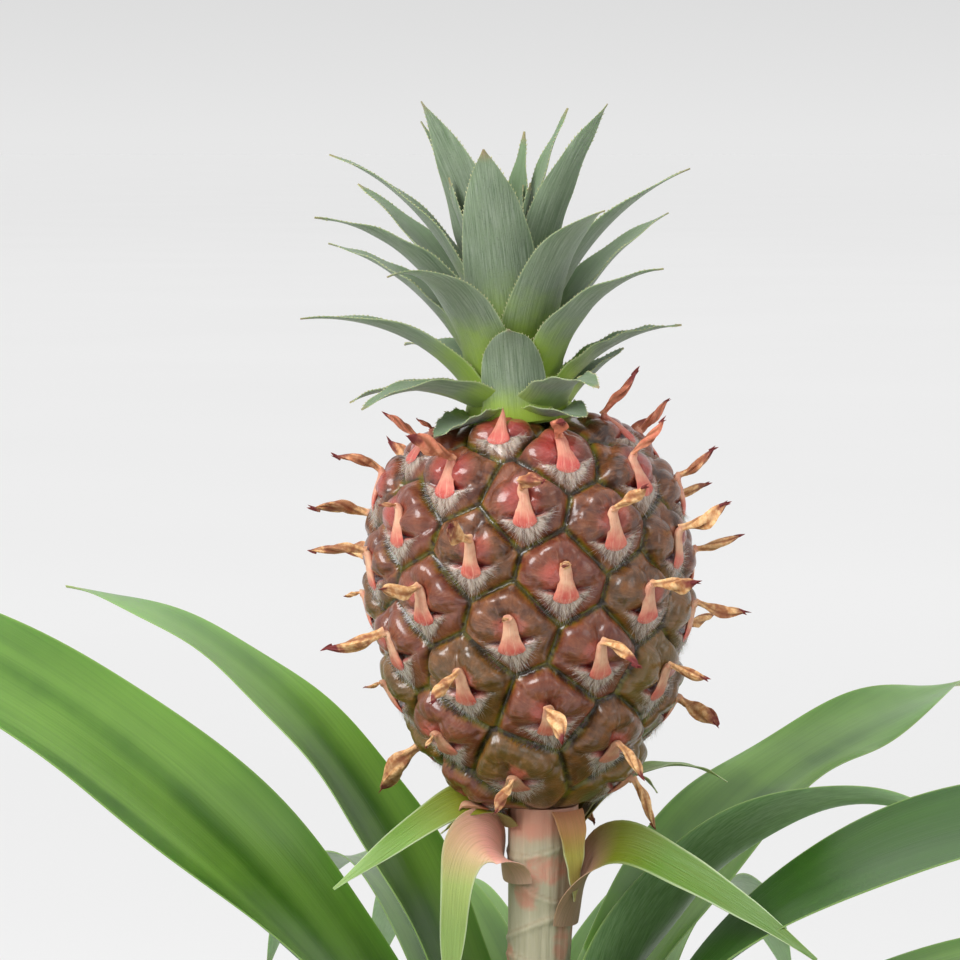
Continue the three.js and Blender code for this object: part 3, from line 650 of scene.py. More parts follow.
def strap_finish():
    gloss = {"Coat Weight": 0.25, "Coat Roughness": 0.34, "IOR": 1.5}
    leaf = Finish("strap_leaf_green", {**glow(0.18, 2.5, (0.5, 1.0, 0.15)), **gloss})
    along_mm, across_mm = leaf.mark("along_mm"), leaf.mark("across_mm")
    along, edge, seed = leaf.mark("along"), leaf.mark("edge"), leaf.mark("leaf_seed")
    veins = leaf.noise(leaf.grid(across_mm, leaf.sum("MULTIPLY", along_mm, 0.012), seed), 0.6, 3, 0.6)
    bands = leaf.noise(leaf.grid(across_mm, leaf.sum("MULTIPLY", along_mm, 0.05), seed), 9, 1, 0.4)
    clouds = leaf.noise(leaf.place(), 30, 3)
    deep_green_and_painted_shade = leaf.mix(leaf.fade(clouds, 0.35, 0.7), paint(46, 88, 8), paint(80, 122, 28))
    upper = leaf.mix(leaf.fade(bands, 0.38, 0.66, 0, 0.65), deep_green_and_painted_shade, paint(114, 154, 62))
    upper = leaf.mix(leaf.fade(veins, 0.4, 0.75, 0, 0.22), upper, paint(52, 88, 20))
    # painted shade: the marked leaves' upper side is painted a darker green
    upper = leaf.mix(leaf.mark("deep_green_and_painted_shade"), upper, leaf.mix(bands, paint(28, 62, 4), paint(46, 88, 18)))
    scurf = leaf.noise(leaf.grid(across_mm, leaf.sum("MULTIPLY", along_mm, 0.1), seed), 0.4, 3, 0.6)
    lower = leaf.mix(leaf.fade(scurf, 0.3, 0.75), paint(78, 110, 58), paint(106, 136, 88))
    colour = leaf.mix(leaf.mark("upper"), lower, upper)
    colour = leaf.mix(leaf.fade(along, 0.0, 0.16, 0.75, 0), colour, paint(176, 190, 128))
    # painted sheen: the outer part of each blade pales towards its tip, standing in for glare and light
    # through the thin end
    colour = leaf.mix(leaf.fade(along, 0.6, 1.0, 0, 0.5), colour, paint(144, 172, 126))
    colour = leaf.mix(leaf.fade(along, 0.95, 1.0, 0, 0.7), colour, paint(150, 156, 92))
    colour = leaf.mix(leaf.fade(edge, 0.96, 1.0, 0, 0.4), colour, paint(146, 170, 96))
    # the lower side and the veins are duller than the upper side
    dull = leaf.mix(leaf.mark("upper"), (0.55,) * 4, (0.36,) * 4)
    return leaf.wear(
        Base_Color=colour,
        Roughness=leaf.mix(leaf.fade(veins, 0.3, 0.8, 0, 0.25), dull, (0.6,) * 4),
        Normal=leaf.bump(veins, 0.1, leaf.bump(bands, 0.3)),
    )


strap_green = strap_finish()
for number, row in enumerate(STRAP_LEAVES, start=1):
    leaf = seated({**STRAP_BLADE, **dict(zip(STRAP_COLUMNS, row)), **STRAP_CHANGES.get(number, {})})
    outline = lambda t: strap_outline(t, leaf["taper"])
    points, marks = blade(leaf, STRAP_RINGS, STRAP_ACROSS, outline, number)
    piece = new_piece(f"leaf_blade_{number}", points, strap_green, marks)
    fit(piece, "leaf", f"strap_leaf_{number}")

# Stalk bracts
# Small leaves that grow from the fruit stalk just under the fruit. They shade from pink or brown roots
# to lime green, with fine pale margins, and dry out at their tips.
BRACT_COLUMNS = ("azimuth", "base", "length", "sweep", "twist", "bends", "shape")
# Each bract: the degrees that it points round the stalk, the height of its root, its length, the degrees
# that it sweeps sideways and twists, how it bends, and its shape.
STALK_BRACTS = [
    (214, 217, 56, 0, -54, "folded", "hanging"),
    (330, 207, 83, -18, 46, "hinged", "spearing"),
    (198, 230, 50, 0, -58, "leaning", "drooping"),
    (306, 233.8, 21, 0, 0, "pendent", "tongue"),
    (36, 229, 51, 0, 0, "spreading", "drooping"),
    (92, 226, 46, 0, 20, "leaning", "hanging"),
    (142, 231, 26, 0, 0, "leaning", "tongue"),
    (22, 230.5, 27, 0, 0, "curling", "withered"),
]
# The last one is a thin dry leaflet, too small for a solid of its own.
SOLID_BRACTS = 7
BRACT_RINGS = 60
BRACT_ACROSS = 13
# For each way that a bract bends: its slope in degrees at shares of the length.
BRACT_BENDS = {
    "folded": [(0, 78), (0.16, 58), (0.27, 0), (0.36, -66), (0.5, -84), (1, -87)],
    "hinged": [(0, 80), (0.2, 64), (0.3, 0), (0.4, -20), (1, -24)],
    "leaning": [(0, 62), (0.1, 50), (0.24, -6), (0.36, -30), (1, -36)],
    "pendent": [(0, -50), (0.2, -74), (0.6, -86), (1, -88)],
    "spreading": [(0, 45), (0.45, 12), (1, -34)],
    "curling": [(0, 48), (0.5, 42), (0.62, -5), (0.8, -35), (1, -62)],
}
BRACT_BLADE = {"thickness": 0.8, "channel": 0.8, "tip_width": 0.5, "ripple": 0.2, "twisted": (0, 0.26)}
# For each shape of bract: the width in millimetres at shares of the length, and the colours there.
BRACT_WIDTHS = {
    "hanging": [(0, 11), (0.12, 16), (0.26, 16), (0.38, 9.5), (0.5, 7), (0.75, 5.6), (1, 0.5)],
    "spearing": [(0, 11), (0.12, 15), (0.26, 13), (0.4, 10), (0.6, 7.6), (0.8, 4.2), (1, 0.5)],
    "drooping": [(0, 10), (0.2, 9), (0.4, 7.2), (0.7, 4.6), (1, 0.4)],
    "tongue": [(0, 9), (0.3, 7), (0.6, 4.4), (0.85, 2), (1, 0.4)],
    "withered": [(0, 4), (0.5, 3.2), (0.8, 2.2), (1, 0.4)],
}
BRACT_HUES = {
    "hanging": [
        (0, (224, 174, 156)),
        (0.24, (224, 158, 144)),
        (0.35, (206, 170, 130)),
        (0.5, (164, 180, 104)),
        (0.7, (146, 172, 98)),
        (1, (140, 166, 96)),
    ],
    "spearing": [
        (0, (164, 118, 100)),
        (0.2, (156, 118, 98)),
        (0.3, (110, 120, 26)),
        (0.45, (88, 126, 30)),
        (1, (80, 114, 50)),
    ],
    "drooping": [(0, (116, 96, 14)), (0.3, (116, 124, 18)), (0.6, (110, 148, 54)), (1, (136, 168, 98))],
    "tongue": [(0, (190, 126, 92)), (0.25, (190, 140, 84)), (0.5, (178, 170, 78)), (1, (156, 144, 92))],
    "withered": [(0, (120, 108, 58)), (0.6, (96, 106, 54)), (1, (138, 152, 106))],
}


def hues_along(t, stops):
    """The colour at each share of a length, from a list of stops."""
    places = [place for place, _ in stops]
    colours = np.array([paint(*colour) for _, colour in stops])
    return np.stack([np.interp(t, places, colours[:, i]) for i in range(4)], axis=-1)


def bract_finish():
    leaf = Finish("stalk_bract_skin", {**glow(0.2, 2, (1.0, 0.8, 0.3)), "IOR": 1.42})
    stretched = leaf.sum("MULTIPLY", leaf.mark("along_mm"), 0.03)
    veins = leaf.noise(leaf.grid(leaf.mark("across_mm"), stretched, leaf.mark("leaf_seed")), 0.45, 4, 0.65)
    mottled = leaf.mix(leaf.fade(veins, 0.4, 0.8, 0, 0.3), leaf.tint("tint"), paint(110, 110, 50))
    outer = leaf.fade(leaf.mark("edge"), 0.86, 0.97)
    margin = leaf.sum("MULTIPLY", outer, leaf.fade(leaf.mark("along"), 0.2, 0.6))
    pale = leaf.mix(leaf.sum("MULTIPLY", margin, 0.7), mottled, paint(186, 200, 162))
    lower = leaf.mix(leaf.fade(leaf.mark("upper"), 0, 1, 0.2, 0), pale, paint(190, 190, 160))
    return leaf.wear(
        Base_Color=lower,
        Roughness=leaf.fade(veins, 0.3, 0.8, 0.4, 0.6),
        Normal=leaf.bump(veins, 0.2),
    )


bract_skin = bract_finish()
for number, row in enumerate(STALK_BRACTS, start=1):
    leaf = {**BRACT_BLADE, **dict(zip(BRACT_COLUMNS, row))}
    stops = BRACT_WIDTHS[leaf["shape"]]
    widest = max(width for _, width in stops)
    leaf = seated({**leaf, "bends": BRACT_BENDS[leaf["bends"]], "width": widest, "root_width": widest})
    outline = lambda t: softened(t, stops) / widest
    points, marks = blade(leaf, BRACT_RINGS, BRACT_ACROSS, outline, number)
    marks["tint"] = hues_along(marks["along"], BRACT_HUES[leaf["shape"]])
    piece = new_piece(f"bract_blade_{number}", points, bract_skin, marks)
    solids = [f"stalk_bract_{number}"] if number <= SOLID_BRACTS else []
    fit(piece, "bract", *solids)

# Fruit
# One fruit grown from many flowers. Each flower left an eye: glossy sepals over a crease, and under it a
# small bract whose pink neck rises over the eye. Olive grooves part the eyes.
FRUIT_LEAN = -3.5
FRUIT_RADIUS = 34.4
FRUIT_WAIST = 53
FRUIT_HEIGHT = 88
EYE_COUNT = 60
EYE_HEIGHT = 3
GOLDEN_ANGLE = 137.508
PROFILE_STEPS = 60
LOWER_REACH = 56
LOWER_ROUND = 1.2
UPPER_ROUND = 0.8
UPPER_RISE = 0.75
LOW_EYE_SIZE = 1.12
TOP_EYE_SIZE = 0.92
EYES_FROM_RADIUS = 12
EYES_TO_RADIUS = 16
FIRST_EYE_ANGLE = 64
SKIN_ROWS = 226
SKIN_COLUMNS = 420
GROOVE_PULL = 0.4
CORNER_ROUND = 0.4
WALL_REACH = 2.4
WALL_POWER = 2.6
# The parts of an eye, in millimetres across, up and out from its middle.
CREASE_LEVEL = -2.7
CREASE_BEND = 0.028
SEPAL_APART = 3.9
SEPAL_WIDTH = 4.7
SEPAL_LENGTH = 5.4
SEPAL_RISE = 2.3
EYE_RISE = 1.9
FELT_WIDTH = 5.8
FELT_DEPTH = 10

# The fruit's outline from its foot to its top, and for each point of it the way walked there, the room for
# eyes below it, its place on a flat map of the fruit, and its slope.
lower_turn = math.asin(FRUIT_WAIST / LOWER_REACH) * (1 - np.arange(PROFILE_STEPS + 1) / PROFILE_STEPS)
upper_turn = np.pi / 2 * np.arange(1, PROFILE_STEPS + 1) / PROFILE_STEPS
lower_r = FRUIT_RADIUS * np.cos(lower_turn) ** LOWER_ROUND
upper_r = FRUIT_RADIUS * np.cos(upper_turn).clip(0) ** UPPER_ROUND
lower_z = FRUIT_WAIST - LOWER_REACH * np.sin(lower_turn)
upper_z = FRUIT_WAIST + (FRUIT_HEIGHT - FRUIT_WAIST) * np.sin(upper_turn) ** UPPER_RISE
profile_r = np.concatenate([[0], lower_r, upper_r])
profile_z = np.concatenate([[0], lower_z, upper_z])
profile_step = np.hypot(np.diff(profile_r, prepend=0), np.diff(profile_z, prepend=0))
profile_middle = (profile_r + np.concatenate([[0], profile_r[:-1]])) / 2
profile_walked = np.cumsum(profile_step)
eye_size_by_height = mix(LOW_EYE_SIZE, TOP_EYE_SIZE, profile_z / FRUIT_HEIGHT)
profile_room = np.cumsum(2 * np.pi * profile_middle * profile_step / eye_size_by_height**2)
profile_longitude = np.cumsum(profile_step / np.maximum(profile_middle, 0.5))
apart = profile_walked + 1e-9 * np.arange(len(profile_walked))
profile_slope = np.arctan2(np.gradient(profile_z, apart), np.gradient(profile_r, apart))


def along_profile(walked, column):
    return np.interp(walked, profile_walked, column)


def fruit_point(walked, angle, height):
    """A point of the fruit at a height above its grooves, in the fruit's own upright frame."""
    slope = along_profile(walked, profile_slope)
    radius = along_profile(walked, profile_r) + height * np.sin(slope)
    return polar(radius, angle, along_profile(walked, profile_z) - height * np.cos(slope))


def stand(points, lean=FRUIT_LEAN, base=FRUIT_BASE):
    """Leans points of the fruit and sets them on the stalk."""
    turn = math.radians(lean)
    x, y, z = np.moveaxis(np.asarray(points, float), -1, 0)
    leaned = [x * math.cos(turn) + z * math.sin(turn), y, -x * math.sin(turn) + z * math.cos(turn)]
    return np.stack(leaned, axis=-1) + base


def chance(n, use):
    """A number from 0 to 1 that looks drawn by lot, for the eye or leaf n and one use of it."""
    return math.sin(n * 12.9898 + use * 78.233) * 43758.5453 % 1


def spread(n, use):
    """The same from -1 to 1."""
    return 2 * chance(n, use) - 1


# The eyes lie in the spirals of the golden angle, each with the same share of the room.
room_from = profile_room[np.argmax(profile_r >= EYES_FROM_RADIUS)]
room_to = profile_room[len(profile_r) - 1 - np.argmax(profile_r[::-1] >= EYES_TO_RADIUS)]
eye_number = np.arange(EYE_COUNT)
eye_room = mix(room_from, room_to, (eye_number + 0.5) / EYE_COUNT)
eye_walked = np.interp(eye_room, profile_room, profile_walked)
eye_angle = np.radians(FIRST_EYE_ANGLE + GOLDEN_ANGLE * eye_number)
eye_radius = along_profile(eye_walked, profile_r)
eye_z = along_profile(eye_walked, profile_z)
eye_longitude = along_profile(eye_walked, profile_longitude)
eye_scale = mix(LOW_EYE_SIZE, TOP_EYE_SIZE, eye_z / FRUIT_HEIGHT)
eye_tilt = np.array([math.radians(9) * spread(n, 21) for n in eye_number])
seam_lean = np.array([0.28 * spread(n, 22) for n in eye_number])
seam_foot = np.array([1.1 * spread(n, 23) for n in eye_number])
third_sepal = np.array([chance(n, 24) < 0.6 for n in eye_number])


def wrapped(angle):
    return (angle + np.pi) % (2 * np.pi) - np.pi


def eye_gap(walked, angle):
    """How far points are from each eye, in millimetres counted for an eye of middling size."""
    radius = along_profile(walked, profile_r)[..., None]
    rise = along_profile(walked, profile_longitude)[..., None] - eye_longitude
    return radius * np.hypot(wrapped(np.asarray(angle)[..., None] - eye_angle), rise) / eye_scale


eye_to_eye = eye_gap(eye_walked, eye_angle)
eye_to_eye = (eye_to_eye + eye_to_eye.T) / 2 + 1e3 * np.eye(EYE_COUNT)


def dome(x, y, middle_x, middle_y, half_width, half_height):
    """The height of a rounded dome of height 1 at points of the plane."""
    inside = 1 - ((x - middle_x) / half_width) ** 2 - ((y - middle_y) / half_height) ** 2
    return np.sqrt(np.clip(inside, 0, 1))


def eye_border(walked, angle):
    """The eye that each point belongs to, and how far the point lies inside the eye's border."""
    gaps = eye_gap(walked, angle)
    own = gaps.argmin(axis=-1)
    nearest = np.take_along_axis(gaps, own[..., None], -1)
    to_border = (gaps**2 - nearest**2) / (2 * eye_to_eye[own])
    np.put_along_axis(to_border, own[..., None], 99.0, -1)
    sharp = to_border.min(axis=-1)
    soft = -CORNER_ROUND * np.log(np.exp(-to_border / CORNER_ROUND).sum(axis=-1))
    return own, np.maximum(mix(sharp, soft, ease(sharp, 0.3, 2)), 0) * eye_scale[own]


def eye_relief(u, v, crease, border, own):
    """The height of an eye's sepals and bract at points of it, and where the bract is felted."""
    above = ease(crease, -0.2, 0.5)
    # two sepals part at a leaning seam, and on some eyes a third lies over them
    third = third_sepal[own]
    seam = u - seam_foot[own] * ease(v, 6, 0) - seam_lean[own] * v
    sides_at = mix(2.0, 0.8, third)
    left = dome(seam, v, -SEPAL_APART, sides_at, SEPAL_WIDTH, SEPAL_LENGTH)
    right = dome(seam, v, SEPAL_APART, sides_at, SEPAL_WIDTH, SEPAL_LENGTH)
    domes = np.maximum(np.maximum(left, right), third * dome(seam, v, 0.5, 5.6, 4.8, 3.3))
    seam_cut = 0.5 * np.exp(-((seam / 0.5) ** 2)) * ease(v, -1.2, 1.5) * ease(border, 0.6, 3)
    seam_cut = seam_cut * (1 - third * ease(v, 3.0, 4.0))
    overlap = 0.4 * ease(seam, 0.0, 0.4) * ease(seam, 3.2, 0.4) * ease(v, -1.0, 1.0)
    pucker = 0.2 * np.sin(2.3 * u + 5 * own) * np.sin(2.1 * v + 3 * own) * ease(np.hypot(u, v), 5.5, 1.5)
    # the bract lies under the crease, and the crease is cut deepest in its middle
    crease_cut = 1.4 * np.exp(-((crease / 0.5) ** 2)) * ease(np.abs(u), 6.5, 3.0)
    crease_cut = crease_cut + 0.7 * np.exp(-(((crease - 0.9) / 1.0) ** 2)) * above
    felt = ease(FELT_WIDTH * (v + FELT_DEPTH) / (FELT_DEPTH - 2.5) - np.abs(u), -0.5, 0.7)
    felt = felt * ease(crease, -0.2, -0.7)
    lip = 1.3 * (1 - above) * ease(crease, -1.0, -6.5)
    shaped = EYE_RISE + (SEPAL_RISE * domes + pucker) * above + (1 - above) * (0.45 + 0.6 * felt) - lip
    return shaped - seam_cut - overlap - crease_cut * ease(border, 0.4, 2.4), felt


def skin(walked, angle):
    """The height of the skin over the grooves, and its marks, at points of the fruit."""
    walked, angle = np.broadcast_arrays(np.asarray(walked, float), np.asarray(angle, float))
    own, border = eye_border(walked, angle)
    u = wrapped(angle - eye_angle[own]) * eye_radius[own] / eye_scale[own]
    v = (walked - eye_walked[own]) / eye_scale[own]
    tilt = eye_tilt[own]
    u, v = u * np.cos(tilt) - v * np.sin(tilt), u * np.sin(tilt) + v * np.cos(tilt)
    crease = v - (CREASE_LEVEL + CREASE_BEND * u**2)
    relief, felt = eye_relief(u, v, crease, border, own)
    wall = 1 - (1 - np.clip(border / WALL_REACH, 0, 1)) ** WALL_POWER
    ends = ease(along_profile(walked, profile_r), 7, 12)
    marks = {
        "border": border,
        "crease": crease,
        "felt": felt,
        "eye_u": u,
        "eye_v": v,
        "eye_seed": (own * 0.618) % 1,
        "ripeness": along_profile(walked, profile_z) / FRUIT_HEIGHT,
    }
    return wall * relief * ends, marks


def drawn_to_grooves(walked, angle):
    """Moves the points beside a groove onto its line, so that the bottom of the groove stays sharp."""
    gaps = eye_gap(walked, angle)
    own, other = np.moveaxis(gaps.argsort(axis=-1)[..., :2], -1, 0)
    near, far = [np.take_along_axis(gaps, eye[..., None], -1)[..., 0] for eye in (own, other)]
    step = (far**2 - near**2) / (2 * eye_to_eye[own, other])
    radius = along_profile(walked, profile_r)
    drawn = (own < other) & (step < GROOVE_PULL) & (radius > 9)
    turn = wrapped(eye_angle[other] - eye_angle[own])
    rise = eye_longitude[other] - eye_longitude[own]
    move = np.where(drawn, step, 0) * eye_scale[own] / np.hypot(turn, rise)
    return walked + move * rise, angle + move * turn / np.maximum(radius, 1)


def sepal_finish():
    gloss = {"Coat Weight": 0.8, "Coat Roughness": 0.19, "Specular IOR Level": 0.25}
    fruit = Finish("fruit_sepals", {**glow(0.12, 1.4, (1.0, 0.5, 0.2)), **gloss})
    place = fruit.place()
    u, v, seed = fruit.mark("eye_u"), fruit.mark("eye_v"), fruit.mark("eye_seed")
    border, crease, ripeness = fruit.mark("border"), fruit.mark("crease"), fruit.mark("ripeness")
    middle = fruit.sum("POWER", fruit.sum("MULTIPLY_ADD", u, u, fruit.sum("MULTIPLY", v, v)), 0.5)
    bearing = fruit.sum("ARCTAN2", u, v)
    blotches = fruit.noise(place, 3.4, 4, 0.6, 0.4)
    fine = fruit.noise(place, 0.5, 4, 0.7)
    spokes = fruit.grid(fruit.sum("MULTIPLY", bearing, 9.0), fruit.sum("MULTIPLY", middle, 0.3), seed)
    rays = fruit.noise(spokes, 1, 3, 0.6)
    tone = fruit.noise(fruit.grid(fruit.sum("MULTIPLY", seed, 9.0), 0.5), 1, 0)

    def crease_line(below, width, strength, reach):
        """A line along the crease that fades out towards the eye's sides."""
        off = fruit.sum("ABSOLUTE", fruit.sum("ADD", crease, below))
        line = fruit.fade(off, 0.15, width, strength, 0)
        return fruit.sum("MULTIPLY", line, fruit.fade(fruit.sum("ABSOLUTE", u), 2.0, reach, 1, 0))

    brown = fruit.mix(fruit.fade(blotches, 0.28, 0.74), paint(52, 22, 6), paint(128, 76, 42))
    rosy = fruit.mix(fruit.fade(tone, 0.42, 0.62, 0, 0.5), brown, paint(122, 54, 38))
    green = fruit.sum("MULTIPLY", fruit.fade(tone, 0.54, 0.36), fruit.fade(ripeness, 0.8, 0.3))
    brown = fruit.mix(fruit.sum("MULTIPLY", green, 0.7), rosy, paint(106, 86, 26))
    rayed = fruit.mix(fruit.fade(rays, 0.52, 0.76, 0, 0.22), brown, paint(176, 132, 100))
    flecked = fruit.mix(fruit.fade(fine, 0.6, 0.74, 0, 0.26), rayed, paint(186, 150, 118))
    # the sepals blush to one side of the eye's neck, most of all high on the fruit
    blush_u = fruit.sum("ADD", u, fruit.sum("MULTIPLY_ADD", tone, 16.0, -8.0))
    blush_v = fruit.sum("ADD", v, -0.6)
    blush_from = fruit.sum("MULTIPLY_ADD", blush_u, blush_u, fruit.sum("MULTIPLY", blush_v, blush_v))
    reach = fruit.sum("MULTIPLY_ADD", ripeness, 3.0, fruit.sum("MULTIPLY_ADD", blotches, 5.0, -0.6))
    reach = fruit.sum("ADD", reach, fruit.fade(ripeness, 0.7, 0.95, 0, 2.0))
    blush = fruit.fade(fruit.sum("DIVIDE", fruit.sum("POWER", blush_from, 0.5), reach), 0.3, 1.15, 0.65, 0)
    rose = fruit.mix(fruit.fade(ripeness, 0.7, 0.95), paint(182, 84, 74), paint(168, 52, 54))
    pinked = fruit.mix(blush, flecked, rose)
    # a grey felt covers the bract under the crease, with a pink line along its upper edge
    felt = fruit.mix(fruit.fade(rays, 0.36, 0.64), paint(118, 92, 76), paint(184, 166, 152))
    felted = fruit.mix(fruit.mark("felt"), pinked, felt)
    lined = fruit.mix(crease_line(0.5, 0.7, 0.7, 5.5), felted, paint(190, 98, 88))
    # ochre light shows through the thin edges, and the grooves are olive, painted darker as well for the
    # shade that falls in them
    ochre = fruit.sum("MULTIPLY", fruit.fade(border, 0.5, 1.5, 0.8, 0), fruit.fade(blotches, 0.4, 0.6))
    edged = fruit.mix(ochre, lined, paint(132, 84, 10))
    olive = fruit.mix(fruit.fade(blotches, 0.42, 0.6), paint(50, 34, 2), paint(96, 86, 2))
    grooved = fruit.mix(fruit.fade(border, 0.3, 0.95, 1, 0), edged, olive)
    colour = fruit.mix(crease_line(-0.1, 0.75, 0.9, 5.0), grooved, paint(112, 18, 24))
    dull = fruit.sum("MAXIMUM", fruit.fade(border, 0.3, 0.9, 1, 0), fruit.mark("felt"))
    pitted = fruit.bump(fruit.sum("MULTIPLY", blotches, fruit.fade(middle, 6, 2)), 1.1)
    return fruit.wear(
        Base_Color=colour,
        Roughness=fruit.sum("MULTIPLY_ADD", dull, 0.25, fruit.fade(fine, 0.3, 0.8, 0.3, 0.48)),
        Normal=fruit.bump(fine, 0.14, fruit.bump(rays, 0.3, pitted)),
    )


skin_walked = np.linspace(profile_walked[1] * 0.3, profile_walked[-1] - 0.6, SKIN_ROWS)
skin_angle = np.linspace(0, 2 * np.pi, SKIN_COLUMNS, endpoint=False)
skin_s, skin_a = drawn_to_grooves(*np.meshgrid(skin_walked, skin_angle, indexing="ij"))
skin_height, skin_marks = skin(skin_s, skin_a)
skin_points = fruit_point(skin_s, skin_a, skin_height)

# Hairs spread over the bracts from the foot of each eye's neck, and lie close to the skin.
HAIR_SOURCE = -3.0
HAIR_LIFT = 0.3
skin_eye = eye_gap(skin_s, skin_a).argmin(axis=-1)
hair_source = fruit_point(eye_walked[skin_eye] + HAIR_SOURCE * eye_scale[skin_eye], eye_angle[skin_eye], 1.6)
skin_comb = fruit_point(skin_s, skin_a, 1.6) - hair_source
skin_comb /= np.linalg.norm(skin_comb, axis=-1, keepdims=True) + 1e-6
skin_comb += HAIR_LIFT * (fruit_point(skin_s, skin_a, 1.0) - fruit_point(skin_s, skin_a, 0.0))
skin_marks["comb"] = stand(skin_comb) - FRUIT_BASE
skin_marks["hairy"] = skin_marks["felt"] * ease(skin_marks["border"], 0.5, 1.4)
fruit_body = new_piece("fruit_eyes", stand(skin_points), sepal_finish(), skin_marks, crease=180)
fit(fruit_body, "fruit_skin", "fruit")

# Bract necks and hairs
# The fleshy bract under each eye narrows to a pink neck, which rises over the crease and carries the
# dried flower. White hairs spread from its foot over the felted bract.
NECK_RINGS = 20
NECK_SIDES = 16
NECK_HEIGHT = 2.0
NECK_FOOT = 5.4
NECK_REACH = 3.2
FLOWER_LENGTH = 13
FLOWERS_END = 3
DROPPED_FLOWERS = (1, 5)
# Shares of the neck's length from its foot, with its half width and its half thickness there.
NECK_SHARES = [0, 0.04, 0.1, 0.18, 0.28, 0.42, 0.62, 0.84, 1]
NECK_WIDTHS = [1.0, 2.2, 2.9, 2.7, 2.1, 1.7, 1.45, 1.15, 0.95]
NECK_DEPTHS = [0.2, 0.25, 0.35, 0.5, 0.65, 0.8, 0.9, 0.9, 0.8]


def flower_lie(n):
    """The root of the dried flower on eye n, its direction and its length, which is 0 where it has none."""
    heading = eye_angle[n] + math.radians(24) * spread(n, 1)
    slope = math.radians(mix(-58, 46, eye_z[n] / FRUIT_HEIGHT) + 14 * spread(n, 2))
    length = FLOWER_LENGTH * (0.35 if chance(n, 3) < 0.12 else mix(0.8, 1.15, chance(n, 4)))
    if eye_z[n] >= FRUIT_HEIGHT - FLOWERS_END or n in DROPPED_FLOWERS:
        length = 0
    reach = NECK_REACH * ease(eye_z[n], 14, 34)
    root = fruit_point(eye_walked[n] + reach, eye_angle[n], EYE_HEIGHT + NECK_HEIGHT)
    return root, polar(math.cos(slope), heading, math.sin(slope)), length


def eye_neck(n):
    """The rings and marks of the neck over eye n, which turns into its flower's direction."""
    size = eye_scale[n]
    root, way, length = flower_lie(n)
    low = eye_walked[n] - NECK_FOOT * size
    foot = fruit_point(low, eye_angle[n], skin(low, eye_angle[n])[0] - 0.1)
    rise = fruit_point(eye_walked[n] - 1.6 * size, eye_angle[n], EYE_HEIGHT + 1.4)
    q = np.linspace(0, 1, NECK_RINGS)[:, None]
    widths = np.interp(q, NECK_SHARES, NECK_WIDTHS) * size * mix(0.85, 1.15, chance(n, 32))
    if length == 0:
        root = root + 2.2 * way
        widths = widths * (1 - 0.94 * q**2)
    ends = [foot, rise, root - 2.4 * way, root]
    weights = [(1 - q) ** 3, 3 * q * (1 - q) ** 2, 3 * q**2 * (1 - q), q**3]
    spine = sum(weight * end for weight, end in zip(weights, ends))
    along = np.gradient(spine, axis=0)
    side = polar(1.0, eye_angle[n] + np.pi / 2, 0.0)
    out = np.cross(side, along)
    out /= np.linalg.norm(out, axis=-1, keepdims=True)
    around = np.linspace(0, 2 * np.pi, NECK_SIDES, endpoint=False)
    ridged = 1 + 0.05 * np.cos(5 * around + n)
    across = (widths * np.cos(around) * ridged)[..., None]
    depth = np.interp(q, NECK_SHARES, NECK_DEPTHS) * np.minimum(widths, 1)
    raised = (depth * np.sin(around) * ridged)[..., None]
    rings = spine[:, None] + across * side + raised * out[:, None]
    whole = np.ones(rings.shape[:2])
    marks = {
        "along": whole * q,
        "across": whole * np.cos(around),
        "eye_seed": whole * (n * 0.618 % 1),
        "ripeness": whole * eye_z[n] / FRUIT_HEIGHT,
    }
    return rings, marks


def neck_finish():
    neck = Finish("bract_neck", {**glow(0.2, 1.5, (1.0, 0.5, 0.35)), "IOR": 1.42})
    along, ripeness, seed = neck.mark("along"), neck.mark("ripeness"), neck.mark("eye_seed")
    lines = neck.grid(neck.sum("MULTIPLY", neck.mark("across"), 6.0), neck.sum("MULTIPLY", along, 1.5), seed)
    fibres = neck.noise(lines, 1, 4, 0.7)
    blotches = neck.noise(neck.place(), 2.5, 3)
    root = neck.mix(neck.fade(blotches, 0.35, 0.65), paint(196, 82, 72), paint(208, 118, 100))
    pale = neck.mix(neck.fade(blotches, 0.35, 0.65), paint(206, 144, 118), paint(220, 174, 142))
    rising = neck.mix(neck.fade(along, 0.12, 0.4), root, pale)
    ripe = neck.mix(neck.fade(ripeness, 0.1, 0.5, 0.5, 0), rising, paint(160, 114, 80))
    fresh = neck.mix(neck.fade(ripeness, 0.75, 0.95, 0, 0.5), ripe, paint(188, 82, 78))
    return neck.wear(
        Base_Color=neck.mix(neck.fade(fibres, 0.52, 0.75, 0, 0.5), fresh, paint(232, 192, 170)),
        Roughness=neck.fade(fibres, 0.3, 0.7, 0.38, 0.6),
        Normal=neck.bump(fibres, 0.3),
    )


def joined(parts):
    """Several closed bodies of rings as one list of points, faces and marks."""
    points, faces, marks = [], [], {}
    start = 0
    for rings, part_marks in parts:
        count, around = rings.shape[:2]
        points.append(rings.reshape(-1, 3))
        faces += [[corner + start for corner in face] for face in tube_faces(count, around)]
        start += count * around
        for mark, values in part_marks.items():
            marks.setdefault(mark, []).append(np.asarray(values).reshape(count * around, -1))
    stacked = {mark: np.concatenate(values) for mark, values in marks.items()}
    return np.concatenate(points), faces, stacked


neck_points, neck_faces, neck_marks = joined([eye_neck(n) for n in eye_number])
necks = new_piece("fruit_necks", stand(neck_points), neck_finish(), neck_marks, neck_faces)
fit(necks, "fruit_skin")


def hair_finish():
    hair = Finish("bract_hair", {**glow(0.3, 0.5), "Roughness": 0.55})
    tone = hair.noise(hair.place(), 1.5, 1)
    return hair.wear(Base_Color=hair.mix(tone, paint(190, 172, 160), paint(232, 222, 214)))


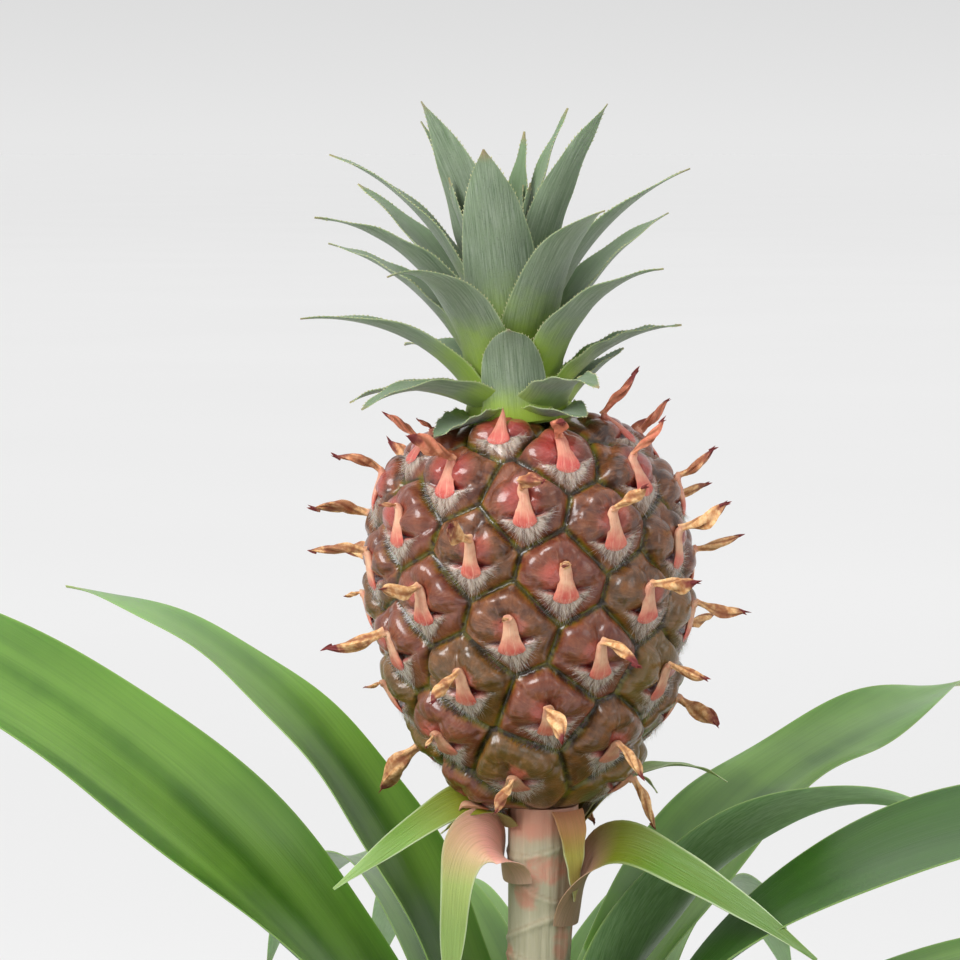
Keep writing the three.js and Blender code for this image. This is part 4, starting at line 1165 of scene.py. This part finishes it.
def spike(recipe, sides, radius, length):
    """A thin pointed shape of a recipe, upright on its middle."""
    sizes = {"Vertices": sides, "Radius Top": 0.0, "Radius Bottom": radius, "Depth": length}
    return recipe.add("GeometryNodeMeshCone", sizes)


def hair_recipe(material):
    """Fine stiff hairs over the parts of a mesh that are marked hairy, laid the way that it is combed."""
    recipe = Recipe("comb_hairs", {"Length": 0.0021, "Thickness": 0.000028, "Density": 5.4e6, "Seed": 4})
    given = recipe.given
    roots = recipe.scatter(recipe.multiply(given["Density"], recipe.field("hairy")))
    hair = spike(recipe, 3, given["Thickness"], given["Length"])
    stray = recipe.random((-0.35, -0.35, -0.35), (0.35, 0.35, 0.35), 8)
    both_ways = {0: recipe.field("comb", "FLOAT_VECTOR"), 1: stray}
    way = recipe.add("ShaderNodeVectorMath", both_ways, operation="ADD")
    turn = recipe.aim(way, recipe.random(0.0, 6.28, 2))
    return recipe.finish(roots, hair, turn, recipe.random(0.45, 1.25, 3), material)


hairs = hair_recipe(hair_finish()).grow("fruit_hairs", fruit_body)
fit(hairs, "fruit_skin")

# Dried flowers
# The withered flower on each bract's neck: a twisted papery spindle, tan with dark red, split tips. Some
# are broken short, and they hang low on the fruit and stand up near the crown.
FLOWER_SHAPES = 8
FLOWER_RINGS = 26
FLOWER_SIDES = 18
LOBE_RINGS = 6
LOBES_FROM = 0.93
FLOWER_SINK = 0.6
# The flowers are spun in even steps from no radians to so many, so that neighbours show other sides.
FLOWER_SPIN = 40
# Shares of a flower's length from its root, with its half width there as a share of the length.
FLOWER_SHARES = [0, 0.1, 0.24, 0.4, 0.56, 0.7, 0.84, 0.94, 1]
FLOWER_WIDTHS = [0.07, 0.055, 0.07, 0.115, 0.14, 0.13, 0.09, 0.048, 0.022]


def dried_flower(seed):
    """The rings of one withered flower of unit length along +Z, with one to three split tips."""
    draw = np.random.default_rng(100 + seed)
    t = np.linspace(0, 1, FLOWER_RINGS)
    around = np.linspace(0, 2 * np.pi, FLOWER_SIDES, endpoint=False)
    twist = draw.uniform(1.6, 4.5) * (1 if draw.random() < 0.7 else -1)
    rope = 0.2 * np.cos(3 * around - 1.5 * twist * t[:, None])
    papery = 0.11 * np.cos(6 * around + draw.uniform(0, 6)) + 0.07 * np.cos(9 * around - 3 * t[:, None])
    folds = 1 + rope + papery * ease(t, 0.1, 0.4)[:, None]
    radius = np.interp(t, FLOWER_SHARES, FLOWER_WIDTHS)[:, None] * folds * draw.uniform(0.75, 1.2)
    flat = mix(1, 0.55, ease(t, 0.15, 0.7))[:, None]
    spin = around + 0.5 * twist * t[:, None]
    x = radius * np.cos(spin)
    y = radius * flat * np.sin(spin)
    bend = draw.uniform(-0.22, 0.22, 2)
    bend_x = bend[0] * t**2 + 0.03 * np.sin(5 * t + seed)
    bend_y = bend[1] * t**2 + 0.03 * np.cos(4 * t + seed)
    z = np.broadcast_to(LOBES_FROM * t[:, None], x.shape)
    rings = np.stack([x + bend_x[:, None], y + bend_y[:, None], z], axis=-1)
    parts = [(rings, {"along": z, "ridge": folds - 1})]
    # each tip is a flat tongue that leaves the spindle's end and leans outwards
    lobes = int(draw.integers(1, 4))
    for lobe in range(lobes):
        lobe_t = np.linspace(0, 1, LOBE_RINGS)
        way = 2 * np.pi * lobe / lobes + draw.uniform(-0.4, 0.4)
        reach = draw.uniform(0.13, 0.24)
        wide = 0.034 * np.sin(np.pi * (0.42 + 0.56 * lobe_t))
        out = draw.uniform(0.02, 0.07) * lobe_t**1.5
        corner = np.array([[1, 0.35], [-1, 0.35], [-1, -0.35], [1, -0.35]])
        side = np.array([-math.sin(way), math.cos(way), 0])
        front = np.array([math.cos(way), math.sin(way), 0])
        base = rings[-1].mean(axis=0) - [0, 0, 0.12]
        spine = base + out[:, None] * front + np.outer(lobe_t * reach, [0, 0, 1])
        flat_lobe = corner[:, :1] * side + corner[:, 1:] * front
        lobe_rings = spine[:, None] + flat_lobe * wide[:, None, None]
        along = np.broadcast_to(LOBES_FROM + reach * lobe_t[:, None], lobe_rings.shape[:2])
        parts.append((lobe_rings, {"along": along, "ridge": np.zeros(lobe_rings.shape[:2])}))
    return joined(parts)


def flower_finish():
    flower = Finish("dried_flower", {**glow(0.2, 1, (1.0, 0.6, 0.3)), "Specular IOR Level": 0.3})
    along, ridge = flower.mark("along"), flower.mark("ridge")
    paper = flower.noise(flower.place(), 1.1, 4, 0.65)
    stains = flower.noise(flower.place(), 5.5, 3, 0.6)
    tan = flower.mix(flower.fade(paper, 0.35, 0.65), paint(196, 140, 88), paint(232, 192, 142))
    high = flower.fade(flower.add("SeparateXYZ", {0: flower.place()}, 2), 308, 322, 0, 0.65)
    tan = flower.mix(high, tan, paint(200, 92, 84))
    # painted shade: the hollows between the folds are painted a darker brown
    painted_fold_shade = flower.mix(flower.fade(ridge, -0.28, 0.12, 0.75, 0), tan, paint(124, 68, 36))
    stained = flower.mix(flower.fade(stains, 0.5, 0.62, 0, 0.7), painted_fold_shade, paint(134, 72, 48))
    ended = flower.sum("MULTIPLY_ADD", stains, 0.9, along)
    tipped = flower.mix(flower.fade(ended, 1.12, 1.4), stained, paint(106, 40, 40))
    rooted = flower.mix(flower.fade(along, 0.0, 0.14, 0.7, 0), tipped, paint(214, 160, 128))
    return flower.wear(
        Base_Color=rooted,
        Roughness=flower.fade(paper, 0.3, 0.7, 0.55, 0.8),
        Normal=flower.bump(paper, 0.25),
    )


def flower_recipe(material, shapes):
    """One of the flower shapes on each point, turned and stretched as the point is marked."""
    sizes = {f"Shape {i + 1}": shape for i, shape in enumerate(shapes)}
    recipe = Recipe("set_flowers", {"Size": 1.0, **sizes})
    given = recipe.given
    choices = add_node(recipe.tree, "GeometryNodeJoinGeometry", {}, {})
    for label in sizes:
        source = {"Object": given[label], "As Instance": True}
        shape = recipe.add("GeometryNodeObjectInfo", source, "Geometry")
        recipe.tree.links.new(shape, choices.inputs[0])
    turn = recipe.aim(recipe.field("flower_way", "FLOAT_VECTOR"), recipe.field("flower_spin"))
    size = recipe.multiply(recipe.field("flower_length"), given["Size"])
    choice = {"Pick Instance": True, "Instance Index": recipe.field("flower_shape", "INT")}
    return recipe.finish(given["Geometry"], choices.outputs[0], turn, size, material, choice)


dry = flower_finish()
flower_shapes = []
for number in range(FLOWER_SHAPES):
    points, faces, marks = dried_flower(number)
    flower_shapes.append(new_piece(f"flower_shape_{number}", points / MM, dry, marks, faces))
flower_roots, flower_ways, flower_lengths = [], [], []
for n in eye_number:
    root, way, length = flower_lie(n)
    if length > 0:
        flower_roots.append(root - FLOWER_SINK * way)
        flower_ways.append(way)
        flower_lengths.append(length)
flower_marks = {
    "flower_way": stand(flower_ways) - FRUIT_BASE,
    "flower_length": np.array(flower_lengths) * MM,
    "flower_spin": np.linspace(0, FLOWER_SPIN, len(flower_lengths)),
    "flower_shape": np.arange(len(flower_lengths)) % FLOWER_SHAPES,
}
flower_points = new_piece("flower_points", stand(flower_roots), dry, flower_marks, faces=[])
flowers = flower_recipe(dry, flower_shapes).grow("fruit_flowers", flower_points)
fit(flowers, "fruit_skin")
for scaffold in [flower_points, *flower_shapes]:
    bpy.data.objects.remove(scaffold)

# Crown
# The tuft of leaves on the fruit, in the same spiral. They are stiff and grey with fine scurf, with finely
# toothed pale margins and bright green roots.
CROWN_LEAN = -2
CROWN_HEIGHT = 25
CROWN_RADIUS = 12
CROWN_LEAVES = 38
FIRST_CROWN_ANGLE = -87 - 10 * GOLDEN_ANGLE
CROWN_RINGS = 44
CROWN_ACROSS = 11
CORE_SIDES = 22
TOOTH_SPACING = 1.1
TOOTH_LENGTH = 0.55
TOOTH_WIDTH = 0.16
TOOTH_SPLAY = 0.8
TEETH_BETWEEN = slice(4, -2)


def crown_point(points):
    """Points of the crown, leaned on the fruit and set on its top."""
    return stand(stand(points, CROWN_LEAN, np.array([0, 0, FRUIT_HEIGHT + SEAT_GAP])))


# What sets a leaf apart from the rule: degrees that it turns round the core, millimetres that its root
# lies further out or lower, and its own length, width, slopes, sweep or taper.
CROWN_CHANGES = {
    0: {"turn": -34, "out": 1, "length": 15, "slopes": (16, 0, -14)},
    1: {"length": 19, "slopes": (34, 16, -10)},
    2: {"turn": -30, "out": 1, "drop": 1, "length": 17, "width": 15, "slopes": (8, -6, -24)},
    3: {"turn": -14, "out": 2, "length": 19, "slopes": (48, 36, 24)},
    4: {"length": 33, "slopes": (34, 8, -24)},
    5: {"turn": -4, "out": 1.5, "drop": 3, "length": 27, "width": 16, "slopes": (48, 18, -28)},
    7: {"turn": -6, "out": 1, "drop": 2, "length": 36, "slopes": (40, 8, -26)},
    8: {"out": 2, "length": 33, "slopes": (50, 24, -4)},
    9: {"out": 2, "length": 31, "slopes": (56, 26, -10)},
    10: {"turn": -6, "out": 6, "drop": 6.5, "length": 23, "width": 16, "slopes": (88, 86, 40), "taper": 4},
    11: {"turn": 12, "out": 2, "length": 35, "slopes": (60, 32, 4)},
    12: {"out": 4, "length": 45, "slopes": (62, 28, 0)},
    13: {"turn": -1, "out": 2, "length": 44, "slopes": (68, 36, 2), "sweep": 4},
    15: {"turn": -10, "out": 4, "length": 46, "slopes": (80, 46, -14), "sweep": -4},
    16: {"turn": 8, "out": 1.5, "length": 52, "slopes": (68, 42, 18), "sweep": 6},
    17: {"turn": 12, "out": 3, "length": 49, "slopes": (72, 47, 18), "sweep": 0},
    18: {"turn": 10, "out": 1, "length": 55, "slopes": (74, 46, 6), "sweep": -4},
    19: {"length": 48},
    20: {"out": 2, "length": 59, "slopes": (72, 47, 8), "sweep": -4},
    21: {"turn": -4, "length": 61, "slopes": (72, 46, 16), "sweep": 2},
    22: {"turn": 24, "out": 1, "length": 56, "slopes": (70, 54, 37), "sweep": 4},
    23: {"turn": 1, "out": 4, "length": 50, "width": 19, "slopes": (84, 80, 76), "sweep": 0, "taper": 3.6},
    24: {"turn": 4, "length": 54, "slopes": (78, 64, 60)},
    25: {"out": 1.5, "length": 63, "slopes": (82, 59, 24)},
    26: {"turn": 34, "length": 61.5, "width": 13, "slopes": (86, 66, 48), "twist": -50},
    27: {"length": 44},
    28: {"turn": -36, "length": 60.8, "width": 19, "slopes": (88, 78, 65), "sweep": -4, "twist": 50},
    29: {"turn": 12, "length": 57, "slopes": (84, 75, 54), "sweep": 4},
    30: {"length": 57, "slopes": (82, 72, 58)},
    31: {"length": 32, "slopes": (88, 90, 92)},
    32: {"turn": -14, "length": 49, "slopes": (86, 80, 70)},
    33: {"length": 40},
    34: {"length": 36},
    35: {"length": 36},
    36: {"length": 32, "slopes": (88, 90, 92)},
    37: {"length": 34},
}


def crown_leaf(n):
    """The sizes of one leaf of the crown, from the outermost at 0 to the innermost."""
    q = n / (CROWN_LEAVES - 1)
    change = {"turn": 0, "out": 0, "drop": 0, **CROWN_CHANGES.get(n, {})}
    radius = max(mix(CROWN_RADIUS, 2, q) - 2, 1) + change.pop("out")
    azimuth = FIRST_CROWN_ANGLE + GOLDEN_ANGLE * n + change.pop("turn")
    height = 1.5 + (CROWN_HEIGHT - 6) * q**0.9 - change.pop("drop")
    width = mix(14, 17, ease(q, 0, 0.3)) * mix(1, 0.62, ease(q, 0.55, 1))
    length = mix(25, 51, ease(q, -0.1, 0.4)) + 12 * ease(q, 0.45, 0.7) - 18 * ease(q, 0.72, 1)
    root_slope = mix(20, 88, q**0.6) + 4 * spread(n, 7)
    middle_slope = mix(2, 84, q**1.2) + 5 * spread(n, 8)
    tip_slope = mix(-55, 0, ease(q, -0.2, 0.5)) + 80 * ease(q, 0.55, 0.85) + 10 * spread(n, 10)
    return {
        "root": polar(radius, math.radians(azimuth), height),
        "azimuth": azimuth,
        "length": length * (1 + 0.07 * spread(n, 6)),
        "width": width,
        "slopes": (root_slope, middle_slope, tip_slope),
        "sweep": 10 * spread(n, 9),
        "thickness": 0.8,
        "channel": 0.62,
        "root_width": mix(1.15, 0.9, q) * width,
        "root_curve": max(radius + 2, 6),
        "tip_width": 0.35,
        "ripple": 0.25,
        "rib": 0.12,
        "taper": 2.1,
        **change,
    }


def crown_finish():
    bloom = {"Sheen Weight": 0.2, "Sheen Roughness": 0.5, "IOR": 1.4}
    leaf = Finish("crown_leaf_scurf", {**glow(0.15, 1.8, (0.6, 1.0, 0.3)), **bloom})
    along, edge, seed = leaf.mark("along"), leaf.mark("edge"), leaf.mark("leaf_seed")
    stretched = leaf.sum("MULTIPLY", leaf.mark("along_mm"), 0.025)
    veins = leaf.noise(leaf.grid(leaf.mark("across_mm"), stretched, seed), 0.24, 4, 0.7)
    patches = leaf.noise(leaf.place(), 7, 4, 0.6)
    grains = leaf.noise(leaf.place(), 0.35, 3, 0.7)
    scurf = leaf.mix(leaf.fade(veins, 0.34, 0.68), paint(90, 108, 82), paint(138, 150, 130))
    scurf = leaf.mix(leaf.fade(patches, 0.35, 0.7, 0, 0.45), scurf, paint(114, 132, 102))
    scurf = leaf.mix(leaf.fade(grains, 0.54, 0.7, 0, 0.45), scurf, paint(66, 80, 54))
    upper = leaf.mix(leaf.mark("upper"), scurf, leaf.mix(0.5, scurf, paint(82, 112, 62)))
    greened = leaf.sum("MULTIPLY_ADD", patches, -0.3, leaf.sum("MULTIPLY_ADD", veins, -0.14, along))
    rooted = leaf.mix(leaf.fade(greened, -0.18, 0.22, 0.88, 0), upper, paint(140, 168, 30))
    ended = leaf.sum("MULTIPLY_ADD", patches, 0.1, along)
    tipped = leaf.mix(leaf.fade(ended, 0.98, 1.06, 0, 0.75), rooted, paint(146, 122, 88))
    pale = leaf.mix(leaf.fade(edge, 0.95, 0.99, 0, 0.4), tipped, paint(172, 184, 140))
    return leaf.wear(
        Base_Color=pale,
        Roughness=leaf.fade(veins, 0.3, 0.7, 0.48, 0.68),
        Normal=leaf.bump(veins, 0.14),
    )


def tooth_recipe(material):
    """Small flat teeth at even steps along margin lines, pointing the way that the line is marked."""
    sizes = {"Spacing": TOOTH_SPACING * MM, "Length": TOOTH_LENGTH * MM, "Width": TOOTH_WIDTH * MM}
    recipe = Recipe("margin_teeth", sizes)
    given = recipe.given
    lines = recipe.add("GeometryNodeMeshToCurve", {"Mesh": given["Geometry"]})
    spaced = {"Curve": lines, "Length": given["Spacing"]}
    steps = recipe.add("GeometryNodeResampleCurve", spaced, mode="LENGTH")
    tooth = spike(recipe, 4, given["Width"], given["Length"])
    turn = recipe.aim(recipe.field("tooth_way", "FLOAT_VECTOR"), 0.0)
    return recipe.finish(steps, tooth, turn, recipe.random(0.6, 1.2, 12), material)


crown_parts = []
margin_points, margin_ways, margin_edges = [], [], []
for n in range(CROWN_LEAVES):
    leaf = crown_leaf(n)
    points, marks = blade(leaf, CROWN_RINGS, CROWN_ACROSS, lambda t: 1 - t ** leaf["taper"], n)
    points = crown_point(points)
    crown_parts.append((points, marks))
    for column, inside in ((0, 1), (CROWN_ACROSS - 1, CROWN_ACROSS - 2)):
        line = points[TEETH_BETWEEN, column]
        forward = np.gradient(line, axis=0)
        outward = line - points[TEETH_BETWEEN, inside]
        way = forward / np.linalg.norm(forward, axis=1, keepdims=True)
        way = way + TOOTH_SPLAY * outward / np.linalg.norm(outward, axis=1, keepdims=True)
        start = len(margin_points)
        margin_points += list(line)
        margin_ways += list(way)
        margin_edges += [(start + i, start + i + 1) for i in range(len(line) - 1)]
core_corners = [
    (0.5, 0, 0),
    (CROWN_RADIUS, 0, 1),
    (CROWN_RADIUS + 0.5, 3, 1.5),
    (CROWN_RADIUS - 3, 14, 3),
    (3, CROWN_HEIGHT, 1),
    (0.5, CROWN_HEIGHT, 0),
]
core_points = crown_point(turned(rounded(core_corners), CORE_SIDES))
core_marks = {mark: np.zeros(core_points.shape[:2]) for mark in crown_parts[0][1]}
crown_parts.append((core_points, core_marks))
crown_points, crown_faces, crown_marks = joined(crown_parts)
crown = new_piece("crown_leaves", crown_points, crown_finish(), crown_marks, crown_faces)
fit(crown, "crown_leaf", "crown")


def tooth_finish():
    tooth = Finish("crown_tooth", {"Roughness": 0.5})
    tone = tooth.noise(tooth.place(), 2, 2)
    return tooth.wear(Base_Color=tooth.mix(tone, paint(176, 184, 130), paint(206, 196, 150)))


horn = tooth_finish()
margins = new_piece("crown_margins", margin_points, horn, {"tooth_way": margin_ways}, [], margin_edges)
teeth = tooth_recipe(horn).grow("crown_teeth", margins)
fit(teeth, "crown_leaf")
bpy.data.objects.remove(margins)

# Studio
# A plain pale floor in a bright, even room, with one large soft lamp high on the left and a weaker one on
# the right. The camera stands a little above the fruit and looks slightly down.
AIM = Vector((-13.1, 0, 309.75)) * MM
CAMERA_DISTANCE = 900 * MM
CAMERA_PITCH = math.radians(5)
FIELD_WIDTH = 220.8 * MM
SENSOR_WIDTH = 36
FLOOR_REACH = 90000
FLOOR_SIDES = 64
LAMP_AIM = Vector((0, 0, 280)) * MM
# How bright the room is at each height of the look, from level at 0 to straight up at 1: behind the plant,
# and behind the camera.
FAR_ROOM = [(0.0, 0.8), (0.035, 0.73), (0.3, 0.8), (1.0, 1.15)]
NEAR_ROOM = [(0.0, 0.8), (0.035, 0.73), (0.16, 0.5), (0.3, 0.44), (0.6, 0.88), (1.0, 1.15)]


def studio_floor():
    floor = Finish("studio_floor", {"Roughness": 0.9, "Specular IOR Level": 0.1})
    place = floor.place()
    tone = floor.noise(place, 900, 2)
    away = floor.add("VectorMath", {0: place}, 1, operation="LENGTH")
    near = floor.mix(tone, paint(226, 226, 226), paint(230, 230, 230))
    middle = floor.mix(tone, paint(242, 242, 242), paint(246, 246, 246))
    far = floor.mix(tone, paint(237, 237, 237), paint(240, 240, 240))
    swept = floor.mix(floor.fade(away, 500, 2500), near, middle)
    return floor.wear(Base_Color=floor.mix(floor.fade(away, 3500, 20000), swept, far))


def soft_lamp(name, place, width, power):
    """A round lamp at a place in millimetres, turned to the plant."""
    lamp = bpy.data.objects.new(name, bpy.data.lights.new(name, "AREA"))
    lamp.data.shape = "DISK"
    lamp.data.size = width * MM
    lamp.data.energy = power
    lamp.location = Vector(place) * MM
    lamp.rotation_euler = (LAMP_AIM - lamp.location).to_track_quat("-Z", "Y").to_euler()
    bpy.context.scene.collection.objects.link(lamp)


def room_light(air, height, stops):
    """The brightness of one side of the room at a height of the look."""
    light = add_node(air, "ShaderNodeValToRGB", {0: height}, {})
    for _ in stops[2:]:
        light.color_ramp.elements.new(0.5)
    for stop, (place, bright) in zip(light.color_ramp.elements, stops):
        stop.position = place
        stop.color = (bright, bright, bright, 1)
    return light.outputs[0]


camera = bpy.data.objects.new("camera", bpy.data.cameras.new("camera"))
away = Vector((0, -math.cos(CAMERA_PITCH), math.sin(CAMERA_PITCH)))
camera.location = AIM + CAMERA_DISTANCE * away
camera.rotation_euler = (math.pi / 2 - CAMERA_PITCH, 0, 0)
camera.data.sensor_width = SENSOR_WIDTH
camera.data.lens = SENSOR_WIDTH * CAMERA_DISTANCE / FIELD_WIDTH
camera.data.clip_start = 0.01
camera.data.clip_end = 100
bpy.context.scene.collection.objects.link(camera)
bpy.context.scene.camera = camera

floor_ring = polar(FLOOR_REACH, np.linspace(0, 2 * np.pi, FLOOR_SIDES, endpoint=False), 0)
floor = new_piece("studio_floor", floor_ring, studio_floor(), faces=[list(range(FLOOR_SIDES))])

# the room is brightest overhead, and as bright as the far floor where it meets it
room = bpy.data.worlds.new("studio_room")
room.use_nodes = True
air = room.node_tree
look = add_node(air, "ShaderNodeTexCoord", {}, {}).outputs[0]
_, back, height = add_node(air, "ShaderNodeSeparateXYZ", {0: look}, {}).outputs
beyond = add_node(air, "ShaderNodeMapRange", {0: back, 1: -0.3, 2: 0.6}, {}).outputs[0]
both = {0: beyond, 6: room_light(air, height, NEAR_ROOM), 7: room_light(air, height, FAR_ROOM)}
whole = add_node(air, "ShaderNodeMix", both, {"data_type": "RGBA"}).outputs[2]
air.links.new(whole, air.nodes["Background"].inputs["Color"])
bpy.context.scene.world = room
soft_lamp("key_lamp", (-640, -540, 960), 620, 12.5)
soft_lamp("fill_lamp", (900, -720, 660), 600, 1.8)
bpy.context.scene.view_settings.view_transform = "Standard"
